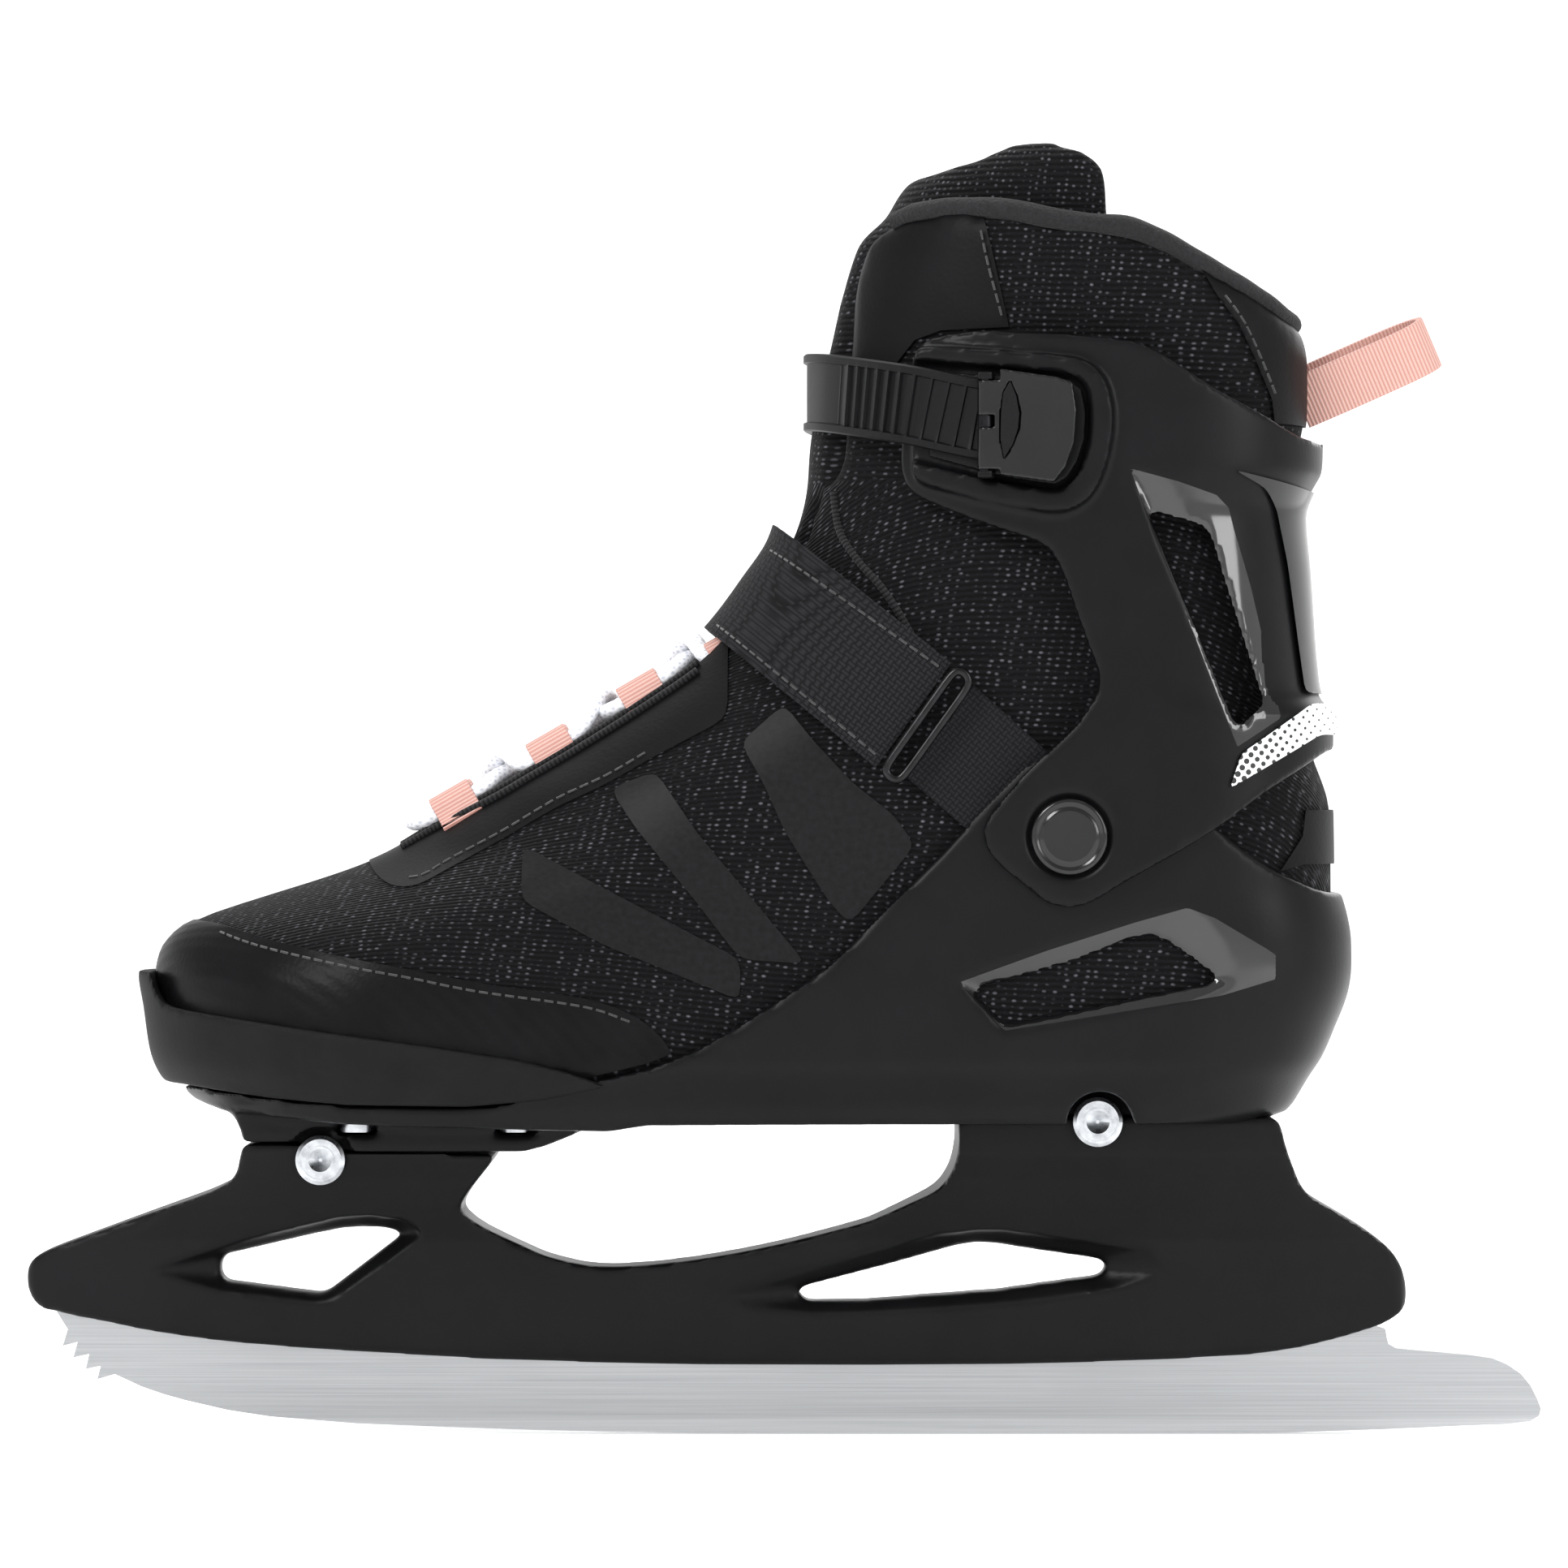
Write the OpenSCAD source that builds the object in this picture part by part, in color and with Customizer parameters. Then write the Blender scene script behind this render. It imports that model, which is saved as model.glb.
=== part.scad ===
// Recreational ice skate, left foot. Toe at -X, heel at +X, buckle side at -Y,
// ice level at z = 0. Millimetres.

/* [Overall] */
// Length from the nose of the blade holder to the tail of the blade
skate_len = 354; // [295:1:425]
// Height from the ice to the top of the tongue
skate_h = 301; // [251:1:361]
// Width of the upper across the ball of the foot
boot_w = 95; // [80:1:112]
// Width of the upper across the ankle
ankle_w = 74; // [64:1:86]

/* [Blade] */
// Thickness of the ground part of the blade
blade_t = 3.8; // [3:0.1:4.6]
// Thickness of the tang inside the holder
tang_t = 4.8; // [4.7:0.1:5.8]
// Width of the holder beside the blade
holder_w = 13; // [11:0.5:18]
// Width of the holder where it meets the boot
tower_w = 46; // [40:1:56]

/* [Boot] */
// Thickness of the moulded shell wall
shell_wall = 3.2; // [2.6:0.1:4]
// Thickness of the moulded cuff wall
cuff_wall = 3.2; // [2.6:0.1:4]
// Thickness of the padded upper and collar
liner_t = 5; // [4:0.25:6]
// Thickness of the padded tongue
tongue_t = 6; // [4.8:0.2:7.2]
// Free gap between pieces that slide past each other
slide_gap = 0.7; // [0.6:0.05:1]
// Gap between pieces that lie against each other
skin_gap = 0.3; // [0.2:0.05:0.4]

/* [Fasteners] */
// Diameter of the heads of the cross bolts
bolt_head_d = 11.4; // [9.6:0.2:13.6]
// Diameter of the shanks of the cross bolts
bolt_d = 6; // [5:0.2:7.2]
// Diameter of the cap over the cuff pivot
pivot_cap_d = 17.6; // [14.8:0.2:21]
// Diameter of the cuff pivot bolt
pivot_d = 8; // [6.8:0.2:9.6]

/* [Straps] */
// Width of the ladder strap
ladder_w = 18; // [15:0.5:21.5]
// Thickness of the ladder strap
ladder_t = 2.4; // [2:0.1:2.9]
// Thickness of the webbing
web_t = 1.6; // [1.4:0.1:1.9]
// Diameter of the lace
lace_d = 4.2; // [3.6:0.1:5]

/* [Hidden] */
$fn = 48;

// Every outline is drawn for a skate 354 long and 301 high, and follows the two sizes.
kx = skate_len / 354;
kz = skate_h / 301;
ky = boot_w / 95;
ankle_half = ankle_w / 2;
through = 200;

pivot_x = 65 * kx;
pivot_z = 140 * kz;
front_bolt = [-107 * kx, 65.2 * kz];
rear_bolt = [72.4 * kx, 74 * kz];

function fit(points) = [for (p = points) [p[0] * kx, p[1] * kz]];
function ease(v) = let(t = min(1, max(0, v))) t * t * (3 - 2 * t);
function along(table, z) = lookup(z / kz, table) * kx;

// Front and back of the boot at each height, along its middle plane.
front_line = [[78, -134], [84, -141], [90, -143.5], [100, -145], [108, -146.2], [113, -145.2],
              [116, -143.3], [119, -140], [121.7, -134.2], [123.1, -130], [126.3, -120],
              [129.4, -110], [132.8, -100], [136.5, -91.5], [142, -82.5], [150, -70],
              [160, -53], [170, -37], [180, -22.5], [190, -12.5], [200, -5], [210, 1.5],
              [220, 4.2], [234, 6], [254, 10.5], [266, 13.2], [280, 17.5], [290, 22],
              [296, 28], [301, 36]];
back_line = [[78, 112], [80, 116], [84, 119], [88, 121.5], [92, 123.5], [100, 126], [110, 127.6],
             [126, 127.8], [145, 127.6], [152, 126], [158, 123.5], [168, 121.5], [172, 118.6],
             [202, 117], [214, 115.8], [222, 116.5], [230, 120], [236, 121.5], [250, 121.6],
             [256, 120.6], [262, 119], [270, 115], [290, 106], [301, 100]];
shell_back_line = [[74, 112], [76, 117.5], [80, 120.3], [84, 122.6], [88, 125.3], [92, 127.2],
                   [96, 128.8], [100, 130.5], [105, 132], [110, 132.5], [116, 132.4],
                   [122, 131.4], [128, 129.8], [150, 128]];
cuff_back_line = [[120, 129], [160, 128.2], [168, 128.2], [172, 125], [176, 124], [202, 122],
                  [214, 121], [220, 123], [225, 125.6], [232, 125.8], [260, 124]];

// Half width of the foot in plan, and how fast its sides close in at the toe.
function foot_half(x) = ky * lookup(x / kx, [[-146, 43], [-110, 46.5], [-80, 47.5], [-50, 45.5],
    [-20, 42], [0, 40], [30, 38], [60, 37], [128, 36]]);
function leg_half(z) = ankle_half + lookup(z / kz, [[150, 0], [250, 0], [262, 1], [301, 3]]);
function half_width(x, z) = let(t = ease((z / kz - 95) / 55))
    foot_half(x) * (1 - t) + leg_half(z) * t - 5 * (1 - ease((z / kz - 76) / 12));
function toe_round(z) = kx * lookup(z / kz, [[80, 46], [105, 52], [115, 62], [125, 74],
    [170, 70], [190, 60], [210, 52], [301, 50]]);
function closing(d, reach, power) =
    pow(1 - pow(1 - min(1, max(0, d / reach)), power), 1 / power);

// One level ring round the boot, grown outwards by off, from the heel round and back again.
ring_half = 17;
function ring_point(a, xf, xb, z, off) = let(
    x = xb + (xf - xb) * (1 - cos(a)) / 2,
    y = (half_width(x, z) + off) * closing(xb - x, 40 * kx + off, 2.4)
        * closing(x - xf, toe_round(z) + off, 2))
    [x, a < 180 ? y : -y, z];
function boot_ring(z, off) = [for (i = [0 : 2 * ring_half - 1])
    ring_point(180 * i / ring_half, along(front_line, z) - off, along(back_line, z) + off, z, off)];

// One level arc round the heel, open at the front, from the buckle side round to the other.
arc_half = 12;
function heel_arc(z, off, xb, x_open) = [for (i = [-arc_half : arc_half]) let(
    s = abs(i) / arc_half,
    x = xb - (xb - x_open) * pow(s, 1.9),
    y = (half_width(x, z) + off) * closing(xb - x, 42 * kx + off, 2.6)
        * (z < 190 * kz ? 1 : closing(x - along(front_line, z) + off, toe_round(z) + off, 2)))
    [x, i < 0 ? -y : y, z]];

function steps(z0, z1, n) = [for (i = [0 : n]) z0 + (z1 - z0) * i / n];

// Skin over a stack of loops that all have the same number of points.
function stack_faces(levels, n) = [for (k = [0 : levels - 2], i = [0 : n - 1], h = [0, 1])
    let(j = (i + 1) % n, a = k * n + i, b = k * n + j, c = b + n, d = a + n)
    h == 0 ? [a, d, c] : [a, c, b]];

// Solid stack of loops, closed flat at both ends.
module solid_stack(loops) {
    n = len(loops[0]);
    levels = len(loops);
    top = (levels - 1) * n;
    polyhedron([for (r = loops) each r],
        concat(stack_faces(levels, n), [[for (i = [0 : n - 1]) i]],
               [[for (i = [n - 1 : -1 : 0]) top + i]]), convexity = 8);
}

// Wall between an outer and an inner arc at each level.
module arc_wall(outer, inner) {
    m = len(outer[0]);
    n = 2 * m;
    levels = len(outer);
    loops = [for (k = [0 : levels - 1]) concat(outer[k], [for (i = [m - 1 : -1 : 0]) inner[k][i]])];
    top = (levels - 1) * n;
    polyhedron([for (r = loops) each r],
        concat(stack_faces(levels, n),
               [for (i = [0 : m - 2]) [i, i + 1, n - 2 - i, n - 1 - i]],
               [for (i = [0 : m - 2]) [top + i + 1, top + i, top + n - 1 - i, top + n - 2 - i]]),
        convexity = 10);
}

// The boot's outer form between two heights, grown by off.
module boot_form(z0, z1, n, off) {
    solid_stack([for (z = steps(z0 * kz, z1 * kz, n)) boot_ring(z, off)]);
}

// A band of the boot's skin between two offsets.
module boot_skin(z0, z1, n, off_in, off_out) {
    difference() {
        boot_form(z0, z1, n, off_out);
        boot_form(z0 - 1, z1 + 1, n, off_in);
    }
}

// Closes a free form as one skin; the true bores are cut from it afterwards.
module as_skin() {
    resize([0, 0, 0]) children();
}

// Prism of a side outline, from y0 to y1 across the skate.
module side_prism(points, y0 = -through, y1 = through) {
    translate([0, y1, 0]) rotate([90, 0, 0]) linear_extrude(y1 - y0) polygon(fit(points));
}

// Cylinder across the skate at a side position.
module cross_cylinder(at, d, y0 = -through, y1 = through) {
    translate([at[0], y1, at[1]]) rotate([90, 0, 0]) cylinder(d = d, h = y1 - y0);
}

// ---- blade and holder ----

// Lower edge of the holder, from the nose to the heel.
holder_edge = [[-170, 29.1], [-165, 27.8], [-159, 26.8], [-150, 24.8], [-140, 23.2], [-130, 21.9],
    [-110, 20.2], [-90, 19], [-70, 17.8], [-45, 17], [-20, 16.4], [20, 16.3], [50, 16.5],
    [70, 17], [90, 17.7], [110, 18.9], [120, 20.4], [130, 22.9], [138.7, 25.6]];
function raised(points, dz) = [for (p = points) [p[0], p[1] + dz]];
function reversed(v) = [for (i = [len(v) - 1 : -1 : 0]) v[i]];

tang_h = 9;
edge_reveal = 0.6;
blade_outline = concat(raised(holder_edge, -edge_reveal),
    [[140.7, 24.5], [140.9, 22.9], [141.4, 21], [143.2, 20], [147.7, 19.6], [159.4, 18.6],
     [165.6, 17.7], [169.2, 16.2], [172.4, 14], [174.6, 11.3], [176.2, 8.1], [177, 5.9],
     [176.6, 4.3], [174.6, 3], [169.2, 2.3], [160, 2], [140, 1.1], [120, 0.4], [100, 0.1],
     [60, 0], [0, 0], [-39, 0.5], [-60, 1], [-80, 1.7], [-100, 2.5], [-120, 4.1],
     [-130, 5.6], [-140, 7.9], [-145, 9.3], [-150, 11], [-156.5, 14], [-160.6, 12.8],
     [-159.8, 15.9], [-163.3, 15.2], [-162.5, 18.7], [-166.2, 17.9], [-165.2, 21.5],
     [-168.7, 20.6], [-167.5, 24.5]]);

module blade() {
    color("#c9cbcc") {
        side_prism(blade_outline, -blade_t / 2, blade_t / 2);
        side_prism(concat(raised(holder_edge, -edge_reveal),
            reversed(raised(holder_edge, tang_h))), -tang_t / 2, tang_t / 2);
    }
}

holder_outline = concat(
    [[-176.9, 36.2], [-176.5, 33.5], [-174.6, 30.6], [-172.3, 29.4]], holder_edge,
    [[141.4, 27], [144.1, 28.8], [145.2, 30.6], [145.4, 34.2], [144.6, 38.2], [142.8, 41.8],
     [139.6, 45.2], [135.1, 48.5], [129.7, 51.8], [124.4, 54.8], [121.2, 57], [119.4, 59.7],
     [117.6, 63.8], [115.8, 68.7], [114.4, 75], [40, 75], [40.5, 70], [40.2, 66.9],
     [39.2, 62.7], [37.3, 59.6], [35, 57.3], [30, 54.9], [20, 50.2], [10, 47.5], [0, 45],
     [-10, 42.9], [-20, 41.2], [-30, 40], [-39.2, 39.4], [-46, 39.7], [-55, 41.8], [-60, 44],
     [-70, 48.7], [-74, 51.5], [-75.6, 53.4], [-73.2, 57.5], [-66, 66.5], [-101, 66.8],
     [-114, 69], [-125.2, 69], [-126, 64.6], [-126.9, 61.4], [-129.2, 59.2], [-134.6, 56.7],
     [-140, 54.8], [-150, 51.3], [-170, 44], [-174.5, 42], [-176.7, 39.5]]);
front_window = [[-130.4, 42.2], [-124.6, 43.5], [-110, 46.9], [-103, 48.3], [-98.5, 48.6],
    [-93.8, 48.5], [-90.8, 47.8], [-89.1, 46.9], [-106.5, 33.6], [-108.5, 33.1], [-130, 35.9],
    [-131.4, 36.9], [-131.7, 39.2], [-131.2, 41.4]];
front_window_bevel = [[-149, 38.6], [-126, 45.6], [-103, 51.2], [-96, 51.6], [-88, 50.4],
    [-84, 47.5], [-91.5, 42], [-104, 31.6], [-110, 30.8], [-132, 33.6]];
rear_window = [[3, 32.6], [4.2, 34.6], [25, 40], [40, 44.2], [44.9, 45], [49, 44.8],
    [59.7, 43.1], [73.7, 41.1], [75.5, 39.5], [73.9, 37.1], [70, 36.6], [59.7, 35.2],
    [50, 33.8], [35, 32.7], [20, 31.5], [5.8, 31.3]];
rear_window_bevel = [[-20, 32.6], [0, 37], [20, 43], [35, 46.9], [45, 48.1], [51, 48.1],
    [85, 43.4], [89.4, 38], [79.5, 34], [60, 30.6], [40, 28.8], [10, 27.4], [-14, 29.4]];
// Half width of the holder at each height.
holder_profile = [[holder_w / 2 - 1, 14], [holder_w / 2, 22], [holder_w / 2 + 0.8, 34],
    [holder_w / 2 + 2.5, 46], [holder_w / 2 + 6, 53], [tower_w / 2 - 4, 61],
    [tower_w / 2 - 1.4, 66], [tower_w / 2 - 0.6, 80]];
// Half width of the holder along its length.
holder_plan = [[-178, 3], [-175, 5.6], [-170, 7.2], [-150, 10], [-128, tower_w / 2 - 3],
    [-124, tower_w / 2], [115, tower_w / 2], [119, tower_w / 2 - 2], [128, 13], [140, 9.5],
    [144, 6.5], [146, 3.5]];
lug_gap = 0.3;
front_lug = [[-121, 54], [-93, 54], [-93, 78], [-121, 78]];
rear_lug = [[58, 60], [87, 60], [87, 84], [58, 84]];
lug_w = 22;
head_t = 2.6;
head_y = tower_w / 2 - 1.2;
barrel_d = bolt_d + 3;

function grown(points, d) = let(cx = (points[0][0] + points[2][0]) / 2,
    cz = (points[0][1] + points[2][1]) / 2)
    [for (p = points) [p[0] + sign(p[0] - cx) * d / kx, p[1] + sign(p[1] - cz) * d / kz]];

// Window with a wide bevelled lip, cut from both sides of a wall.
module lipped_window(lip, hole, y_lip, y_hole) {
    side_prism(hole);
    for (m = [0, 1]) mirror([0, m, 0]) hull() {
        side_prism(lip, y_lip, y_lip + 30);
        side_prism(hole, y_hole, y_hole + 0.1);
    }
}

module holder_body() {
    intersection() {
        side_prism(holder_outline, -tower_w / 2, tower_w / 2);
        rotate([90, 0, 90]) linear_extrude(2 * through, center = true)
            polygon(concat([for (p = holder_profile) [-p[0], p[1] * kz]],
                reversed([for (p = holder_profile) [p[0], p[1] * kz]])));
        linear_extrude(through) polygon(concat([for (p = holder_plan) [p[0] * kx, -p[1]]],
            reversed([for (p = holder_plan) [p[0] * kx, p[1]]])));
    }
}

module blade_holder() {
    color("#1b1b1c") difference() {
        holder_body();
        side_prism(concat(raised(holder_edge, -4), reversed(raised(holder_edge, tang_h))),
            -tang_t / 2, tang_t / 2);
        lipped_window(front_window_bevel, front_window, holder_w / 2 + 1.6, holder_w / 2 - 2.4);
        lipped_window(rear_window_bevel, rear_window, holder_w / 2 + 1.6, holder_w / 2 - 2.4);
        side_prism(grown(front_lug, lug_gap), -lug_w / 2 - lug_gap, lug_w / 2 + lug_gap);
        side_prism(grown(rear_lug, lug_gap), -lug_w / 2 - lug_gap, lug_w / 2 + lug_gap);
        for (b = [front_bolt, rear_bolt]) {
            cross_cylinder(b, barrel_d);
            cross_cylinder(b, bolt_head_d + 3, -through, -head_y);
            cross_cylinder(b, bolt_head_d + 3, head_y, through);
        }
    }
}

// Cross bolts: a round head with a conical drive recess, and a plain shank.
module bolt_head(d) {
    difference() {
        union() {
            cylinder(d = d, h = head_t - 0.6);
            translate([0, 0, head_t - 0.6]) cylinder(d1 = d, d2 = d - 1.6, h = 0.6);
        }
        translate([0, 0, head_t - 1.8]) cylinder(d1 = 0.8, d2 = 5.6, h = 1.9);
        translate([0, 0, head_t - 0.35]) difference() {
            cylinder(d = d - 2.6, h = 1);
            translate([0, 0, -1]) cylinder(d = 6.6, h = 3);
        }
    }
}

module cross_bolts() {
    color("#b9bcbe") for (b = [front_bolt, rear_bolt]) translate([b[0], -head_y, b[1]])
        rotate([90, 0, 0]) {
            bolt_head(bolt_head_d);
            translate([0, 0, -2 * head_y + 4]) cylinder(d = bolt_d, h = 2 * head_y - 4);
        }
}

module cross_bolt_nuts() {
    color("#b9bcbe") for (b = [front_bolt, rear_bolt]) translate([b[0], head_y, b[1]])
        rotate([-90, 0, 0]) {
            bolt_head(bolt_head_d);
            translate([0, 0, -2 * head_y + 0.6]) difference() {
                cylinder(d = barrel_d, h = 2 * head_y - 0.6);
                translate([0, 0, -1]) cylinder(d = bolt_d, h = 2 * head_y - 2.8);
            }
        }
}

// ---- shell, bumper, boards ----

web_in = 0.4;
shell_in = skin_gap;
shell_out = shell_in + shell_wall;
cuff_in = shell_out + slide_gap;
cuff_out = cuff_in + cuff_wall;

// Underside of the upper: low under the toes, raised under the heel.
sole_top = [[-160, 82.8], [-138, 82.6], [-118, 80.4], [-100, 79], [-72, 78.6], [-55, 80],
    [-40, 83], [20, 90], [150, 90]];
sole_profile = concat(
    [[-139, 81.6], [-138.6, 80.4], [-136.5, 78.6], [-131, 77], [-100, 74.4], [-60, 73.2],
     [-40, 72.7], [-30, 74.2], [-20, 75.5], [-10, 76.9], [0, 78.2], [10, 79.2], [20, 80.5],
     [30, 81.8], [35, 81.8], [38, 81], [42, 78], [48, 75.4], [110, 75.4], [118, 76.6],
     [122, 80], [128, 92]],
    reversed([for (p = raised(sole_top, -0.3)) [max(-139, min(128, p[0])), p[1]]]));
shell_side = [[-62, 70], [-62, 80.4], [-50, 82.6], [-40, 85], [-30, 87.4], [-20, 91.4],
    [-10, 97], [0, 103.4], [10, 110.3], [20, 120], [30, 130.3], [36, 136], [40, 140.7],
    [44, 144.7], [50, 151], [56, 157], [64, 160], [74, 159], [84, 154], [92, 147.6],
    [98.9, 141.9], [105, 136.7], [112, 132.3], [118, 129.6], [124, 127.1], [140, 126],
    [140, 70]];
shell_window = [[43.2, 105.1], [50.4, 97.5], [100, 107.1], [89.7, 114.7], [85.3, 117.1],
    [80, 116.7], [65, 111.1]];
shell_window_lip = [[40, 106.8], [50.3, 95.6], [100, 103.6], [118.4, 109], [110.5, 114.3],
    [98.5, 121.4], [92.1, 123.8], [80, 120.4], [60, 114]];
pedestal = [[-134, 77.9], [-133.8, 77.7], [-127.7, 76.2], [-126.2, 74.2], [-125.2, 71.9],
    [-125, 69.4], [-114, 69.4], [-101, 67.2], [-60, 67.2], [-55, 68.5], [-50, 70.5],
    [-44, 73], [-44, 77.9]];
pedestal_w = 50;
screw_d = 4.5;
screw_head_d = 9;
screw_head_t = 2.2;
// Each pair of sole screws: place along the boot, half spacing, height of the head.
screw_at = [[-98.5, 19, 71.6], [-62, 19, 71.6], [50, 18, 75.6], [100, 16, 75.6]];
board_t = 4;
board_gap = 1.4;

// Wall round the heel: its back face lies back_out outside the given line.
module arc_wall_between(z0, z1, n, off_in, off_out, back, back_out, x_open) {
    zs = steps(z0 * kz, z1 * kz, n);
    arc_wall([for (z = zs) heel_arc(z, off_out, along(back, z) + back_out, x_open * kx)],
        [for (z = zs) heel_arc(z, off_in, along(back, z) + back_out - (off_out - off_in),
            x_open * kx)]);
}

// The same cross cylinder on both sides of the boot, from y0 out to y1.
module pivot_hole_at(p, d, y0, y1) {
    for (m = [0, 1]) mirror([0, m, 0]) cross_cylinder([p[0] * kx, p[1] * kz], d, -y1, -y0);
}
module pivot_hole(d, y0, y1) {
    pivot_hole_at([pivot_x / kx, pivot_z / kz], d, y0, y1);
}

module shell_lugs() {
    intersection() {
        side_prism(pedestal, -pedestal_w / 2, pedestal_w / 2);
        linear_extrude(through) polygon([[-134 * kx, -16], [-126 * kx, -pedestal_w / 2],
            [-48 * kx, -pedestal_w / 2], [-44 * kx, -18], [-44 * kx, 18],
            [-48 * kx, pedestal_w / 2], [-126 * kx, pedestal_w / 2], [-134 * kx, 16]]);
    }
    side_prism(front_lug, -lug_w / 2, lug_w / 2);
    side_prism(rear_lug, -lug_w / 2, lug_w / 2);
}

// Web slot in the wall of the shell, where the anchor webbing passes inside it.
anchor_webbing = [[43.3, 174.6], [64.9, 155.1], [46.4, 137.7], [27.4, 154.1]];
rivet_d = 3;
rivet_at = [[50, 145], [57.4, 151.9]];

module shell_form() {
    difference() {
        union() {
            intersection() {
                side_prism(sole_profile);
                boot_form(66, 96, 6, shell_out);
            }
            intersection() {
                side_prism(shell_side);
                arc_wall_between(75.2, 164, 14, shell_in, shell_out, shell_back_line, 0, -66);
            }
        }
        lipped_window(shell_window_lip, shell_window, ankle_half + shell_out - 0.4,
            ankle_half + shell_in - 1);
        side_prism(anchor_webbing, -ankle_half - web_in - web_t - 0.1, -ankle_half);
        side_prism(anchor_webbing, ankle_half, ankle_half + web_in + web_t + 0.1);
    }
}

module shell() {
    color("#1d1d1e") difference() {
        union() {
            as_skin() shell_form();
            shell_lugs();
        }
        for (b = [front_bolt, rear_bolt]) {
            cross_cylinder(b, barrel_d);
            cross_cylinder(b, bolt_head_d + 4, -through, -head_y + 0.6);
            cross_cylinder(b, bolt_head_d + 4, head_y - 0.6, through);
        }
        pivot_hole(pivot_d + 4, ankle_half - 4, ankle_half + 12);
        for (p = rivet_at) pivot_hole_at(p, rivet_d, ankle_half, ankle_half + 10);
        for (p = screw_at, s = [-1, 1]) translate([p[0] * kx, s * p[1], 0]) {
            cylinder(d = screw_d, h = through);
            head_z = p[2] * kz;
            if (p[0] < 0) translate([-screw_head_d / 2 - 0.6, s < 0 ? -30 : -screw_head_d / 2,
                head_z - 0.4]) cube([screw_head_d + 1.2, 30 + screw_head_d / 2, screw_head_t + 0.4]);
            else translate([0, 0, head_z - 10]) cylinder(d = screw_head_d + 1,
                h = 10 + screw_head_t);
        }
    }
}

module sole_screws() {
    color("#a9acae") for (p = screw_at, s = [-1, 1])
        translate([p[0] * kx, s * p[1], p[2] * kz]) {
            cylinder(d = screw_head_d, h = screw_head_t);
            cylinder(d = screw_d, h = lookup(p[0], sole_top) * kz - p[2] * kz + board_t - 1);
        }
}

// Layer that follows the top of the sole, between two heights above it.
module sole_layer(lift, t, off) {
    intersection() {
        translate([0, 0, lift]) side_prism(concat(sole_top,
            reversed(raised(sole_top, t / kz))));
        boot_form(75.3, 104.6, 6, off);
    }
}

module lasting_board() {
    color("#3a3a3c") as_skin() sole_layer(0.15, board_t - 0.15, -liner_t - board_gap);
}

module footbed() {
    color("#2b2b2e") as_skin() sole_layer(board_t + 0.1, 3, -liner_t - board_gap);
}

bumper_top = [[-43.3, 84.4], [-50, 86.7], [-60, 89.2], [-80, 92.3], [-100, 95], [-120, 97.7],
    [-140, 100.3], [-143.3, 101.3], [-145.4, 104.2], [-146.8, 108.5], [-160, 108.5]];
bumper_t = 4;
overlay_t = 0.8;

module toe_bumper() {
    color("#1c1c1d") as_skin() difference() {
        intersection() {
            boot_skin(78, 110, 7, overlay_t, overlay_t + bumper_t);
            side_prism(concat([for (p = sole_top) if (p[0] < -41) p], [[-40.5, 83]], bumper_top));
        }
        side_prism(concat([[-64, 60], [-64, 80.6]], [for (p = shell_side) if (p[1] > 80
            && p[0] < -15) [p[0] - 0.5, p[1] + 0.4]], [[-20, 60]]));
    }
}

// ---- upper ----

// The upper is split from the collar round the cuff pivot, so that the collar can tilt.
split_r = 45;
split_gap = 2;
function ray(a, r) = [65 + r * cos(a), 140 + r * sin(a)];
foot_back_angle = 8;
foot_front_angle = 134.5;
tilt_back_angle = 18;
tilt_front_angle = 118.5;
tilt_floor = 225;

// Space over the foot that the upper leaves free.
module leg_space() {
    difference() {
        side_prism([ray(foot_back_angle, 20), ray(foot_back_angle, 160), ray(73, 260),
            ray(foot_front_angle, 200), ray(foot_front_angle, 20)]);
        cross_cylinder([pivot_x, pivot_z], 2 * split_r);
    }
}

// Space that the collar and the top of the tongue fill, clear of the foot at every tilt.
module tilting_space() {
    difference() {
        side_prism([ray(tilt_back_angle, 20), ray(tilt_back_angle, 160), ray(70, 260),
            [-60, 340], [-60, tilt_floor], [18.9, tilt_floor], ray(tilt_front_angle, 20)]);
        cross_cylinder([pivot_x, pivot_z], 2 * (split_r + split_gap));
    }
}

module throat_slot(inset) {
    translate([0, 0, 95 * kz]) linear_extrude(through) polygon([[(-88 + inset) * kx, 0],
        [(-85 + inset) * kx, -7 + inset], [(-60 + inset) * kx, -11 + inset],
        [40 * kx, -13 + inset], [40 * kx, 13 - inset], [(-60 + inset) * kx, 11 - inset],
        [(-85 + inset) * kx, 7 - inset]]);
}

module upper() {
    color("#18181a") as_skin() difference() {
        boot_skin(76.1, 215.3, 21, -liner_t, 0);
        side_prism(concat([[-170, 60]], raised(sole_top, 0.15), [[170, 60]]));
        leg_space();
        throat_slot(0);
    }
}

module toe_overlay() {
    color("#161617") as_skin() difference() {
        intersection() {
            boot_skin(77, 124, 9, 0, overlay_t);
            side_prism([[-170, 120.6], [-131.3, 120.2], [-120, 116.8], [-100, 112.5],
                [-85, 109.8], [-70, 106.8], [-45, 103.3], [-35, 100], [-27, 94], [-24, 86],
                [-24, 70], [-170, 70]]);
        }
        side_prism(concat([[-170, 60]], raised(sole_top, 0.1), [[170, 60]]));
        side_prism(concat([[-60, 60]], [for (p = shell_side) if (p[0] < 40) [p[0] - 1, p[1] + 1]],
            [[60, 60]]));
    }
}

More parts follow.
